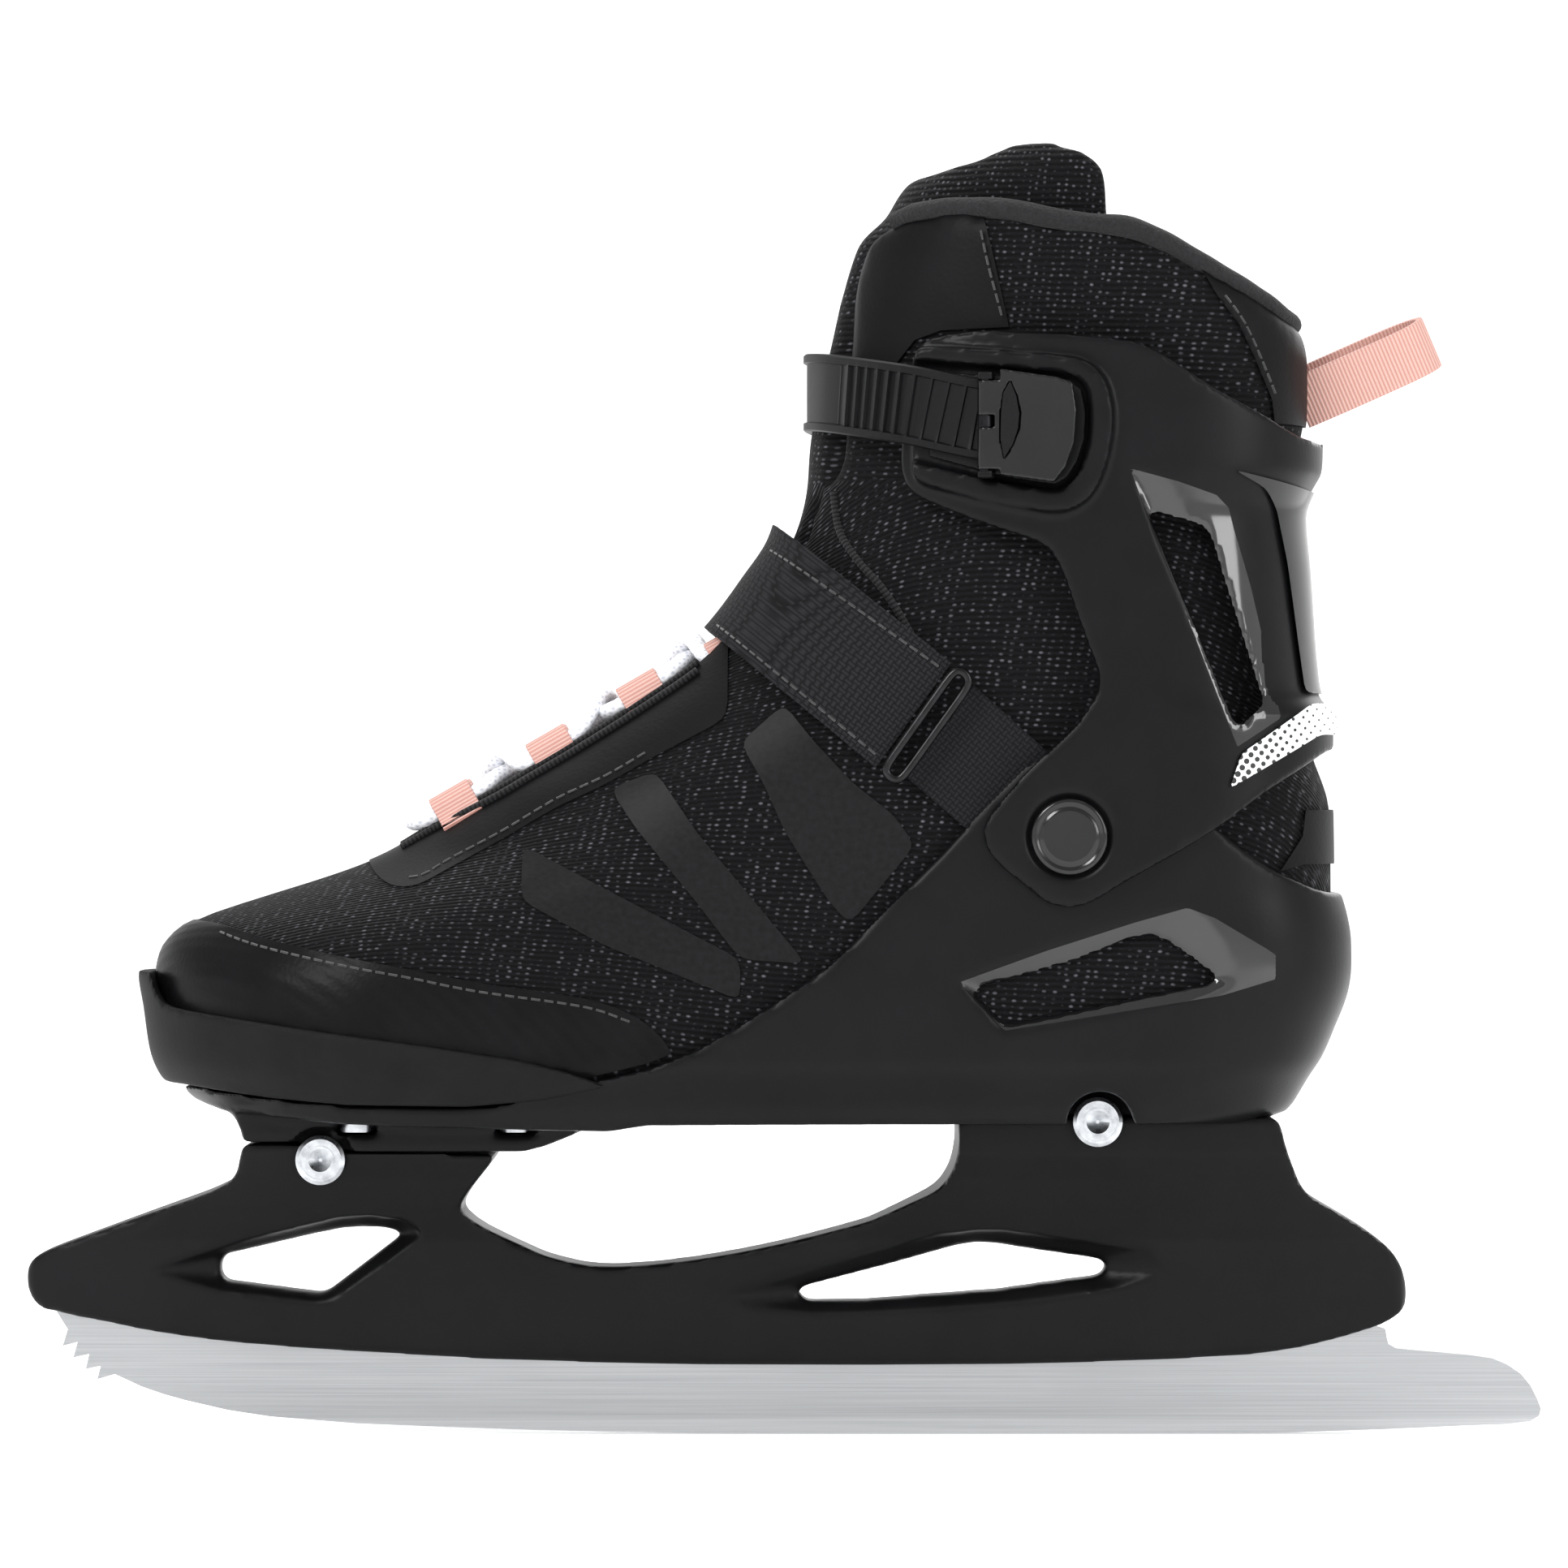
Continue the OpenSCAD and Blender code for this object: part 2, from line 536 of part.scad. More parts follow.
module eyestay() {
    color("#202022") as_skin() difference() {
        intersection() {
            boot_skin(119.3, 199.1, 10, 0, overlay_t);
            side_prism([[-97, 134.4], [-94, 130.9], [-90, 128.6], [-85.8, 128.5],
                [-82.5, 129.6], [-76.7, 132.9], [-65, 139.3], [-52.5, 146.7],
                [-40.8, 152.1], [-30, 158.3], [-13, 167.2], [-13, 190], [-60, 190],
                [-110, 150]]);
        }
        throat_slot(0.08);
    }
}

module heel_patch() {
    color("#202022") as_skin() intersection() {
        boot_skin(124, 150, 6, 0, overlay_t);
        side_prism([[114, 132], [119.4, 139.9], [120.2, 146], [140, 146], [140, 133.5],
            [120, 133.5]]);
    }
}

// The lower tongue lies under the edges of the throat and fills it.
module tongue_lower() {
    color("#19191b") as_skin() difference() {
        intersection() {
            union() {
                boot_skin(112, 212, 13, -liner_t - skin_gap - tongue_t, -liner_t - skin_gap);
                intersection() {
                    boot_skin(112, 212, 13, -liner_t - tongue_t, -1);
                    throat_slot(0.4);
                }
            }
            translate([-92 * kx, -26 * ky, 0]) cube([126 * kx, 52 * ky, 400]);
        }
        leg_space();
    }
}

// ---- laces and straps ----

// Height of the edge of the throat at each place along the boot.
function edge_z(x) = lookup(x, [[-90, 137.5], [-86.3, 139.8], [-80, 143.1], [-70, 148.8],
    [-60, 154.4], [-50, 160.3], [-40, 166.3], [-30, 172.7], [-10, 183], [0, 194], [6, 202]]);
loop_x = [-76.5, -54, -33, -12.5];
loop_len = 10;
lace_side = 8.6;
// One strand from the toe bar to its end under the strap: each point is along, across, rise.
function strand(s, over) = [[-86.5, 0, 3.4], [-85, -6 * s, 2.6], [-81.5, -lace_side * s, 2.2],
    [-72, -lace_side * s, 2.2], [-66, 0, over], [-60, lace_side * s, 2.4],
    [-48.5, lace_side * s, 2.4], [-43, 0, over], [-38, -lace_side * s, 2.8],
    [-28, -lace_side * s, 3], [-22.6, 0, over + 1.6], [-17, lace_side * s, 2.4],
    [-8, lace_side * s, 1.6]];
lace_route = [for (p = concat(reversed(strand(1, 3.4)), [for (q = strand(-1, 8.2)) if (q[1] != 0
    || q[0] > -86) q])) [p[0] * kx, p[1], edge_z(p[0]) * kz + p[2]]];

function spline(p, k, t) = let(n = len(p), a = p[max(0, k - 1)], b = p[k], c = p[k + 1],
    d = p[min(n - 1, k + 2)])
    (2 * b + (c - a) * t + (2 * a - 5 * b + 4 * c - d) * t * t
        + (3 * b - a - 3 * c + d) * t * t * t) / 2;
function smooth_path(p, per) = concat([for (k = [0 : len(p) - 2], i = [0 : per - 1])
    spline(p, k, i / per)], [p[len(p) - 1]]);
function unit(v) = v / norm(v);

// Round tube of diameter d swept along a path.
module swept_tube(path, d, sides) {
    n = len(path);
    solid_stack([for (i = [0 : n - 1]) let(
        t = unit(path[min(n - 1, i + 1)] - path[max(0, i - 1)]),
        u = unit(cross(t, [0, 0.2, 1])), v = cross(t, u))
        [for (k = [0 : sides - 1]) path[i] + d / 2 * (u * cos(360 * k / sides)
            + v * sin(360 * k / sides))]]);
}

module lace() {
    color("#eef0f4") swept_tube(smooth_path(lace_route, 3), lace_d, 8);
}

// Flat ribbon loops sewn under the eyestays, folded round the lace.
module lace_loops() {
    color("#e9a79d") for (x = loop_x, s = [-1, 1]) translate([x * kx, s * lace_side,
        edge_z(x) * kz + 2.4]) rotate([0, -30, 0]) rotate([0, 90, 0]) difference() {
            cylinder(d = lace_d + 2.4, h = loop_len, center = true);
            cylinder(d = lace_d + 0.6, h = loop_len + 1, center = true);
        }
}

strap_in = 1.9;
strap_turns = 2;
strap_t = web_t * strap_turns;
module instep_strap() {
    color("#2a2a2c") as_skin() intersection() {
        boot_skin(150, 216, 13, strap_in, strap_in + strap_t);
        side_prism([[38.2, 179.6], [21, 155.6], [-30, 198], [-14, 222]]);
    }
}

wire_d = 2;
ring_outer = [[39.6, 180.2], [44.6, 175.8], [26.4, 150.6], [21, 154.6]];
ring_inner = [[39, 177.3], [41.3, 175.3], [25.8, 153.7], [23.7, 155.3]];
ring_y = ankle_half + strap_in + strap_t + 0.2;
module instep_ring() {
    color("#101011") difference() {
        side_prism(ring_outer, -ring_y - wire_d, -ring_y);
        side_prism(ring_inner, -ring_y - wire_d - 1, -ring_y + 1);
    }
}

module ring_anchor() {
    color("#262628") difference() {
        for (m = [0, 1]) mirror([0, m, 0]) side_prism(anchor_webbing,
            -ankle_half - web_in - web_t, -ankle_half - web_in);
        for (p = rivet_at) pivot_hole_at(p, rivet_d, ankle_half, ankle_half + 10);
    }
}

module anchor_rivets() {
    color("#8e9092") for (p = rivet_at)
        pivot_hole_at(p, rivet_d, ankle_half + web_in - 0.2, ankle_half + shell_out);
}

// ---- cuff ----

cuff_side = [[45.5, 143], [45.5, 140], [46.4, 136.7], [50, 132.7], [55.3, 128.7], [60, 124.7],
    [65, 123.7], [69.7, 124.7], [76, 128.7], [80, 131], [89.7, 136.3], [98.9, 141.9],
    [109.7, 150], [120.2, 156.4], [126, 160], [140, 161], [140, 232], [121.6, 231],
    [116.7, 232.6], [107.7, 237.6], [98.7, 242], [85.3, 250.6], [80.8, 252.6],
    [74.5, 253.7], [62.8, 254.6], [50.3, 255.2], [42.2, 255.3], [35.9, 254.4],
    [32.3, 253.3], [30.1, 251], [28.6, 246], [26.8, 228.1], [26.9, 224.1], [27.8, 220.5],
    [30.1, 217.8], [35.9, 215.1], [44.9, 211.5], [57.5, 207.5], [61, 205.2], [63.7, 199.9],
    [66.4, 191.8], [69.6, 182.8], [71.8, 177.4], [71.8, 173.8], [70, 170.2], [66.4, 165],
    [60, 159.2], [55.3, 154.8], [50.4, 149.2]];
cuff_window = [[83, 214.4], [96.5, 210.6], [98.3, 205.2], [109.7, 170.2], [103.2, 164.8]];
cuff_window_lip = [[78.6, 224], [89.8, 221], [98.7, 218], [101.6, 215.1], [103, 209.7],
    [106.8, 197.2], [110.3, 182.8], [113.8, 167.1], [103.4, 160.4]];
buckle_recess = [[20, 249.6], [65.5, 245.2], [68.7, 242.9], [69.8, 237.6], [69.6, 230.4],
    [67.8, 224.1], [65.1, 220], [61.9, 218.7], [50.3, 220.5], [20, 227.6]];
bushing_d = pivot_d + 4;
cap_recess_d = pivot_cap_d + 2;
cap_floor = ankle_half + cuff_out - 1.5;
bushing_t = 1.4;
base_rivet_d = 3;
base_rivets = [[60, 226], [60, 239.5]];
strap_screw_at = [50, 234];
strap_screw_d = 5;
strap_nut_d = 7;

// The buckle lies on a plane that turns in towards the toe. In this frame x and z stay
// those of the boot and y is 0 on the side of the cuff, negative outwards.
buckle_x = 56;
buckle_turn = -6;
module buckle_frame(m = 0) {
    mirror([0, m, 0]) translate([buckle_x * kx, -ankle_half - cuff_out, 0])
        rotate([0, 0, buckle_turn]) translate([-buckle_x * kx, 0, 0]) children();
}
buckle_boss = [[29, 252], [40, 251.4], [68, 249], [73, 245], [75, 238], [74.6, 229],
    [72, 220], [67.5, 215], [62, 213.6], [46, 216.4], [29, 221]];
boss_y = -2;
floor_y = 0.6;
base_t = 1;
strap_clear = 0.3;
strap_y = floor_y - base_t - strap_clear - ladder_t / 2;

module cuff_form() {
    difference() {
        union() {
            intersection() {
                side_prism(cuff_side);
                arc_wall_between(120, 258, 18, cuff_in, cuff_out, cuff_back_line, 0, 24);
            }
            for (m = [0, 1]) intersection() {
                buckle_frame(m) side_prism(buckle_boss, boss_y, 6);
                side_prism(cuff_side);
            }
        }
        boot_form(205, 258, 6, cuff_in);
        lipped_window(cuff_window_lip, cuff_window, ankle_half + cuff_out - 0.4,
            ankle_half + cuff_in - 1);
        for (m = [0, 1]) buckle_frame(m) side_prism(buckle_recess, -30, floor_y);
    }
}

module cuff() {
    color("#1f1f20") difference() {
        as_skin() cuff_form();
        pivot_hole(bushing_d, ankle_half, ankle_half + 20);
        pivot_hole(cap_recess_d, cap_floor, ankle_half + 20);
        for (p = base_rivets) pivot_hole_at(p, base_rivet_d, ankle_half - 6, ankle_half + 20);
        cross_cylinder([strap_screw_at[0] * kx, strap_screw_at[1] * kz], strap_nut_d, 20, 80);
    }
}

module pivot_nuts() {
    color("#9fa1a3") difference() {
        pivot_hole(pivot_d + 4, ankle_half + shell_in, ankle_half + shell_out);
        pivot_hole(pivot_d, ankle_half, ankle_half + 20);
    }
}

module pivot_bolts() {
    color("#9fa1a3") {
        pivot_hole(pivot_d, ankle_half + shell_in, cap_floor + 0.1);
        pivot_hole(bushing_d - 1, cap_floor + 0.1, cap_floor + 0.9);
    }
}

bushing_play = 0.15;
module pivot_bushings() {
    color("#d8d6cf") difference() {
        pivot_hole(bushing_d, ankle_half + cuff_in, ankle_half + cuff_in + bushing_t);
        pivot_hole(pivot_d + 2 * bushing_play, ankle_half, ankle_half + 20);
    }
}

module pivot_caps() {
    color("#0f0f10") difference() {
        pivot_hole(pivot_cap_d, cap_floor, cap_floor + 2.4);
        pivot_hole(bushing_d + 1, cap_floor - 1, cap_floor + 1.2);
    }
}

spine = [[102.8, 223.6], [110.4, 219.6], [113.1, 215.1], [115.8, 202.5], [118.5, 183.7],
    [120.1, 173], [140, 173], [140, 219.6], [122, 219.6]];
band = [[101.6, 151], [104.4, 159], [121.6, 170.6], [140, 170.6], [140, 163.4], [123.5, 163.4]];
trim_t = 0.9;
module cuff_trim(outline, z0, z1, n) {
    intersection() {
        side_prism(outline);
        arc_wall_between(z0, z1, n, cuff_out, cuff_out + trim_t, cuff_back_line, trim_t, 90);
    }
}
module spine_insert() {
    color("#0c0c0d") as_skin() cuff_trim(spine, 170, 226, 7);
}
module heel_band() {
    color("#e9ebec") as_skin() cuff_trim(band, 148, 172, 4);
}

// ---- collar and upper tongue ----

collar_edge = [[13.4, 222], [14.4, 236], [16.4, 251], [17.4, 265], [18.9, 272], [21, 277.6]];
collar_top = [[25.8, 280.4], [30.8, 282.4], [39.8, 283.2], [49.7, 282.6], [59.6, 280.6],
    [69.6, 279], [77.5, 278.4], [85.5, 275.6], [99.4, 268], [109.3, 262.6], [119, 257.4]];
module collar() {
    color("#19191b") as_skin() intersection() {
        boot_skin(150, 286, 17, -liner_t, 0);
        tilting_space();
        side_prism(concat(collar_edge, collar_top, [[130, 252], [130, 140], [13.4, 140]]));
    }
}

binding_t = 4.4;
module collar_binding() {
    color("#141415") as_skin() intersection() {
        boot_skin(250, 290, 7, -liner_t, 0.9);
        side_prism(concat(collar_top, reversed(raised(collar_top, binding_t))));
    }
}

module collar_front_panels() {
    color("#1d1d1f") as_skin() intersection() {
        boot_skin(244, 285, 6, 0, overlay_t);
        side_prism([[15.8, 246.5], [16.4, 251], [17.4, 265], [18.9, 272], [21, 277.6],
            [25.8, 280.2], [30.8, 282.2], [39.8, 283], [45.4, 282.7], [50.9, 258.8],
            [51.4, 256.5], [36, 256], [30, 254], [26, 249]]);
    }
}

module collar_rear_panel() {
    color("#1d1d1f") as_skin() difference() {
        intersection() {
            boot_skin(234, 270, 5, 0, overlay_t);
            side_prism([[95, 269], [99.4, 263.7], [104.4, 257.3], [108.3, 249.3],
                [112.3, 240.4], [113, 235], [130, 235], [130, 252], [119, 257.2],
                [109.3, 262.4], [99.4, 267.8]]);
        }
        translate([100 * kx, -pull_w, 232 * kz]) cube([40, 2 * pull_w, 18 * kz]);
    }
}

tongue_gap = 1;
module tongue_upper() {
    color("#19191b") as_skin() intersection() {
        union() {
            intersection() {
                boot_skin(205, 300.9, 13, -tongue_t, 0);
                side_prism(concat([[-20, 200], [-20, 320], [80, 320], [66, 289.4],
                    [38, 289.4], [27.5, 287], [22.5, 283.6]],
                    reversed([for (p = collar_edge) [p[0] - tongue_gap, p[1]]]),
                    [[12, 200]]));
            }
            intersection() {
                boot_skin(215, 300.9, 12, -liner_t - skin_gap - tongue_t, -liner_t - skin_gap);
                side_prism([[0, 222], [40, 218], [74, 262], [74.6, 282.1], [74.4, 290.1],
                    [72.6, 294.6], [67.6, 297.8], [61.6, 300.2], [57.7, 300.4],
                    [52.7, 299.5], [45.7, 296.6], [39.8, 294.9], [26.8, 293.1], [0, 291]]);
            }
        }
        tilting_space();
        side_prism([[-20, 200], [-20, 290.4], [21.7, 291.1], [26.8, 293.1], [32.8, 293.6],
            [39.8, 294.9], [45.7, 296.6], [52.7, 299.5], [57.7, 300.4], [90, 300.4], [90, 200]]);
    }
}

// ---- pull loop, ladder strap and buckle ----

pull_w = 6.5;
pull_len = 27;
module pull_loop() {
    color("#e6a49a") translate([120.8 * kx, 0, 242 * kz]) rotate([10, -24, 0])
        linear_extrude(12.6, center = true) difference() {
            union() {
                translate([0, -pull_w]) square([pull_len * kx, 2 * pull_w]);
                translate([pull_len * kx, 0]) circle(r = pull_w);
            }
            translate([-1, -pull_w + web_t]) square([pull_len * kx + 1, 2 * (pull_w - web_t)]);
            translate([pull_len * kx, 0]) circle(r = pull_w - web_t);
        }
}

// Flat band swept along a path, w tall and t thick, its width staying square to the path.
module swept_band(path, w, t) {
    n = len(path);
    solid_stack([for (i = [0 : n - 1]) let(
        d = unit(path[min(n - 1, i + 1)] - path[max(0, i - 1)]),
        v = unit(cross([0, 0, 1], d)), u = cross(d, v))
        [for (c = [[-1, -1], [1, -1], [1, 1], [-1, 1]])
            path[i] + c[0] * t / 2 * v + c[1] * w / 2 * u]]);
}

// Middle line of the ladder strap seen from above, from the toe side round to the wing.
function strap_side_y(x) = ankle_half + cuff_out - strap_y - (buckle_x - x) * 0.105;
strap_plan = [[5.7, 0], [6.6, 7], [10, 17.5], [16.5, 28.5], [24, 38.2]];
strap_sides = [31, 44, 54, 64];
function strap_height(x) = (243.7 - 0.22 * (min(x, 45) - 4.5) - 0.1 * max(0, x - 45)) * kz;
function strap_side(s) = concat([for (p = strap_plan) [p[0] * kx, s * p[1] * ankle_w / 74,
    strap_height(p[0])]],
    [for (x = strap_sides) [x * kx, s * strap_side_y(x), strap_height(x)]]);
ladder_route = concat(reversed(strap_side(1)), [for (i = [1 : len(strap_plan)
    + len(strap_sides) - 1]) strap_side(-1)[i]]);

module ladder_strap() {
    color("#1a1a1b") difference() {
        swept_band(smooth_path(ladder_route, 3), ladder_w, ladder_t);
        cross_cylinder([strap_screw_at[0] * kx, strap_screw_at[1] * kz], strap_screw_d, 20, 80);
    }
}

base_outline = [[33, 246], [65.3, 243.9], [67.6, 241.8], [68.6, 237], [68.4, 230.6],
    [66.6, 225], [64.2, 221.6], [61.6, 220.2], [50.4, 222], [33, 226.7]];
pin_x = 46.2;
pin_y = -5.2;
pin_d = 2.2;
ear_t = 1.6;
lever_z = [223.4, 243.6];
module buckle_base() {
    color("#151516") difference() {
        buckle_frame() {
            side_prism(base_outline, floor_y - base_t, floor_y);
            for (z = [lever_z[0] - 0.3 - ear_t / kz, lever_z[1] + 0.3])
                translate([pin_x * kx - 1.7, pin_y - 1.7, z * kz])
                    cube([3.4, floor_y - pin_y + 1.7 - base_t / 2, ear_t]);
        }
        buckle_frame() translate([pin_x * kx, pin_y, 0]) cylinder(d = pin_d, h = 400);
        for (p = base_rivets) pivot_hole_at(p, base_rivet_d, ankle_half - 6, ankle_half + 20);
    }
}

module anchor_plate() {
    color("#151516") difference() {
        buckle_frame(1) side_prism(base_outline, floor_y - base_t, floor_y);
        for (p = base_rivets) pivot_hole_at(p, base_rivet_d, ankle_half - 6, ankle_half + 20);
        cross_cylinder([strap_screw_at[0] * kx, strap_screw_at[1] * kz], strap_nut_d, 20, 80);
    }
}

module buckle_rivets() {
    color("#8e9092") for (m = [0, 1], p = base_rivets)
        mirror([0, m, 0]) intersection() {
            cross_cylinder([p[0] * kx, p[1] * kz], base_rivet_d, -ankle_half - 20,
                -ankle_half - cuff_in);
            buckle_frame() translate([0, floor_y - base_t, 0]) cube([200, 40, 400]);
        }
}

screw_y = strap_side_y(strap_screw_at[0]) + ladder_t / 2;
module strap_screw() {
    color("#8e9092") {
        cross_cylinder([strap_screw_at[0] * kx, strap_screw_at[1] * kz], strap_screw_d,
            ankle_half + cuff_in - 0.5, screw_y + 0.5);
        translate([strap_screw_at[0] * kx, screw_y + 0.3, strap_screw_at[1] * kz])
            rotate([-90, 0, 0]) cylinder(d1 = 11, d2 = 7, h = 1.8);
    }
}

module strap_nut() {
    color("#8e9092") difference() {
        union() {
            cross_cylinder([strap_screw_at[0] * kx, strap_screw_at[1] * kz], strap_nut_d,
                ankle_half + 1.8, screw_y - ladder_t - strap_clear);
            cross_cylinder([strap_screw_at[0] * kx, strap_screw_at[1] * kz], 12,
                ankle_half + 1.8, ankle_half + 3);
        }
        cross_cylinder([strap_screw_at[0] * kx, strap_screw_at[1] * kz], strap_screw_d, 20, 80);
    }
}

lever_in = strap_y - ladder_t / 2 - 0.4;
lever_t = 3.5;
lever_top = lever_in - lever_t;
lever_outline = [[46.2, 223.4], [49.6, 223.4], [49.6, 222.2], [61.9, 220.5], [64.6, 224.1],
    [66.4, 229.5], [66.9, 236.7], [66, 242.9], [62.8, 244.2], [49.6, 246.2], [49.6, 243.6],
    [46.2, 243.6]];
pad_outline = [[50.6, 225.8], [52.6, 229], [53.8, 232.6], [54.1, 236], [53.4, 240],
    [52, 243.4], [50.4, 240.6], [49.9, 236], [49.8, 230]];
pad_play = 0.25;
pawl_x = 63;
pawl_y = lever_in - 1.2;
pawl_len = 7.4;
pawl_z = [230, 239];
module lever() {
    color("#0e0e0f") buckle_frame() difference() {
        union() {
            side_prism(lever_outline, lever_top, lever_in);
            translate([pin_x * kx, pin_y, lever_z[0] * kz])
                cylinder(d = 3.6, h = (lever_z[1] - lever_z[0]) * kz);
        }
        translate([pin_x * kx, pin_y, 0]) cylinder(d = pin_d + 0.1, h = 400);
        translate([(pin_x - 2.4) * kx, lever_top - 1, 232.8 * kz])
            cube([4.6 * kx, 6, 3 * kz]);
        side_prism(grown_outline(pad_outline, pad_play), -30, 30);
        translate([(pawl_x - pawl_len - 0.6) * kx, pawl_y - 1.5, (pawl_z[0] - 0.5) * kz])
            cube([(pawl_len + 2.4) * kx, 6, (pawl_z[1] - pawl_z[0] + 1) * kz]);
        translate([pawl_x * kx, pawl_y, (pawl_z[0] - 2.4) * kz])
            cylinder(d = 1.2, h = (pawl_z[1] - pawl_z[0] + 4.8) * kz);
    }
}

// Outline moved out from its own centre by d.
function middle(points) = [for (k = [0, 1]) (min([for (p = points) p[k]])
    + max([for (p = points) p[k]])) / 2];
function grown_outline(points, d) = let(c = middle(points))
    [for (p = points) p + unit(p - c) * d];

module lever_pin() {
    color("#b0b2b4") buckle_frame() translate([pin_x * kx, pin_y,
        (lever_z[0] - 0.3) * kz - ear_t]) cylinder(d = pin_d,
            h = (lever_z[1] - lever_z[0] + 0.6) * kz + 2 * ear_t);
}

module lever_spring() {
    color("#b0b2b4") buckle_frame() translate([pin_x * kx, pin_y, 233.1 * kz]) difference() {
        cylinder(d = 3.4, h = 2.4 * kz);
        translate([0, 0, -1]) cylinder(d = pin_d + 0.1, h = 10);
    }
}

module release_pad() {
    color("#161617") buckle_frame() side_prism(pad_outline, lever_top - 0.6, lever_top + 1.4);
}

module pawl() {
    color("#a4a6a8") buckle_frame() difference() {
        union() {
            translate([pawl_x * kx, pawl_y, pawl_z[0] * kz])
                cylinder(d = 2.2, h = (pawl_z[1] - pawl_z[0]) * kz);
            translate([(pawl_x - pawl_len) * kx, pawl_y - 0.1, pawl_z[0] * kz])
                cube([pawl_len * kx, 1.1, (pawl_z[1] - pawl_z[0]) * kz]);
        }
        translate([pawl_x * kx, pawl_y, 0]) cylinder(d = 1.3, h = 400);
    }
}

module pawl_pin() {
    color("#b0b2b4") buckle_frame() translate([pawl_x * kx, pawl_y, (pawl_z[0] - 2.4) * kz])
        cylinder(d = 1.2, h = (pawl_z[1] - pawl_z[0] + 4.8) * kz);
}

blade();
blade_holder();
cross_bolts();
cross_bolt_nuts();
sole_screws();
shell();
toe_bumper();
lasting_board();
footbed();
upper();
toe_overlay();
eyestay();
heel_patch();
tongue_lower();
lace();
lace_loops();
instep_strap();
instep_ring();
ring_anchor();
anchor_rivets();
pivot_bolts();
pivot_nuts();
pivot_bushings();
pivot_caps();
cuff();
spine_insert();
heel_band();
collar();
collar_binding();
collar_front_panels();
collar_rear_panel();
tongue_upper();
pull_loop();
buckle_base();
anchor_plate();
buckle_rivets();
ladder_strap();
strap_screw();
strap_nut();
lever();
lever_pin();
lever_spring();
release_pad();
pawl();
pawl_pin();
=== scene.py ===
"""Recreational ice skate, left foot: toe at -X, heel at +X, buckle side at -Y, ice at z = 0."""
import math

import bmesh
import bpy
from mathutils import Matrix, Vector


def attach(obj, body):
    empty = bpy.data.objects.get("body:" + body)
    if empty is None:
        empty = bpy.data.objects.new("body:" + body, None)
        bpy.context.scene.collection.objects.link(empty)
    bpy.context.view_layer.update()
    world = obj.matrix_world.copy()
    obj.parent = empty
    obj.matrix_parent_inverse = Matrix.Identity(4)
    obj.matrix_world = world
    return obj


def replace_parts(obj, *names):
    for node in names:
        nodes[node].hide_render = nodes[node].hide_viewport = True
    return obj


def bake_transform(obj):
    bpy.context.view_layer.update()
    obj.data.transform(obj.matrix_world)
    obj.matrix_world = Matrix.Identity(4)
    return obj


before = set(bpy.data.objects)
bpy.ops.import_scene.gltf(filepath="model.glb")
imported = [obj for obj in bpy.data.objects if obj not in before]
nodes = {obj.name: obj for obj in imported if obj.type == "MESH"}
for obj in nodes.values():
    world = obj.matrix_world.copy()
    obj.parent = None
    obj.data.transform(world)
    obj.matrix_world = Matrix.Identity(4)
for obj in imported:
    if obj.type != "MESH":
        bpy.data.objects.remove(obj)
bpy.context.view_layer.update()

MM = 0.001

# ---- Studio ------------------------------------------------------------------
# A product table: a pale seamless sweep that turns up all round, three soft boxes, and a long
# lens level with the middle of the boot.

camera = bpy.data.objects.new("camera", bpy.data.cameras.new("camera"))
camera.location = (0, -1.6, 0.152)
camera.rotation_euler = (math.radians(90), 0, 0)
camera.data.lens = 156.9
camera.data.sensor_width = 36
bpy.context.scene.collection.objects.link(camera)
bpy.context.scene.camera = camera
bpy.context.scene.view_settings.view_transform = "Standard"


def soft_box(name, place, size, watts):
    lamp = bpy.data.lights.new(name, "AREA")
    lamp.shape = "RECTANGLE"
    lamp.size, lamp.size_y = size
    lamp.energy = watts
    obj = bpy.data.objects.new(name, lamp)
    obj.location = place
    obj.rotation_euler = (Vector((0, 0, 0.15)) - Vector(place)).to_track_quat("-Z", "Y").to_euler()
    bpy.context.scene.collection.objects.link(obj)


soft_box("key_box", (-0.9, -1.3, 1.25), (0.8, 0.6), 21)
soft_box("fill_box", (1.3, -1.0, 0.7), (0.5, 0.9), 8)
soft_box("top_box", (0.1, 0.5, 1.5), (1.6, 1.0), 16)
soft_box("back_box", (0.6, 1.4, 0.9), (1.2, 0.9), 10)


def srgb(code):
    """Linear colour of an sRGB hex code."""
    parts = [int(code[i:i + 2], 16) / 255 for i in (1, 3, 5)]
    return [c / 12.92 if c <= 0.04045 else ((c + 0.055) / 1.055) ** 2.4 for c in parts] + [1]


def add(tree, kind, inputs=None, **settings):
    """Add a node; inputs hold plain values or the sockets that they are linked from."""
    node = tree.nodes.new("ShaderNode" + kind)
    for key, value in settings.items():
        setattr(node, key, value)
    for key, value in (inputs or {}).items():
        if isinstance(value, bpy.types.NodeSocket):
            tree.links.new(value, node.inputs[key])
        else:
            node.inputs[key].default_value = value
    return node


def finish(name, **shader):
    """A new material: its tree, its Principled shader and its Object coordinates."""
    material = bpy.data.materials.new(name)
    material.use_nodes = True
    tree = material.node_tree
    tree.nodes.clear()
    values = {key.replace("_", " "): value for key, value in shader.items()}
    surface = add(tree, "BsdfPrincipled", values)
    add(tree, "OutputMaterial", {"Surface": surface.outputs["BSDF"]})
    return material, tree, surface, add(tree, "TexCoord").outputs["Object"]


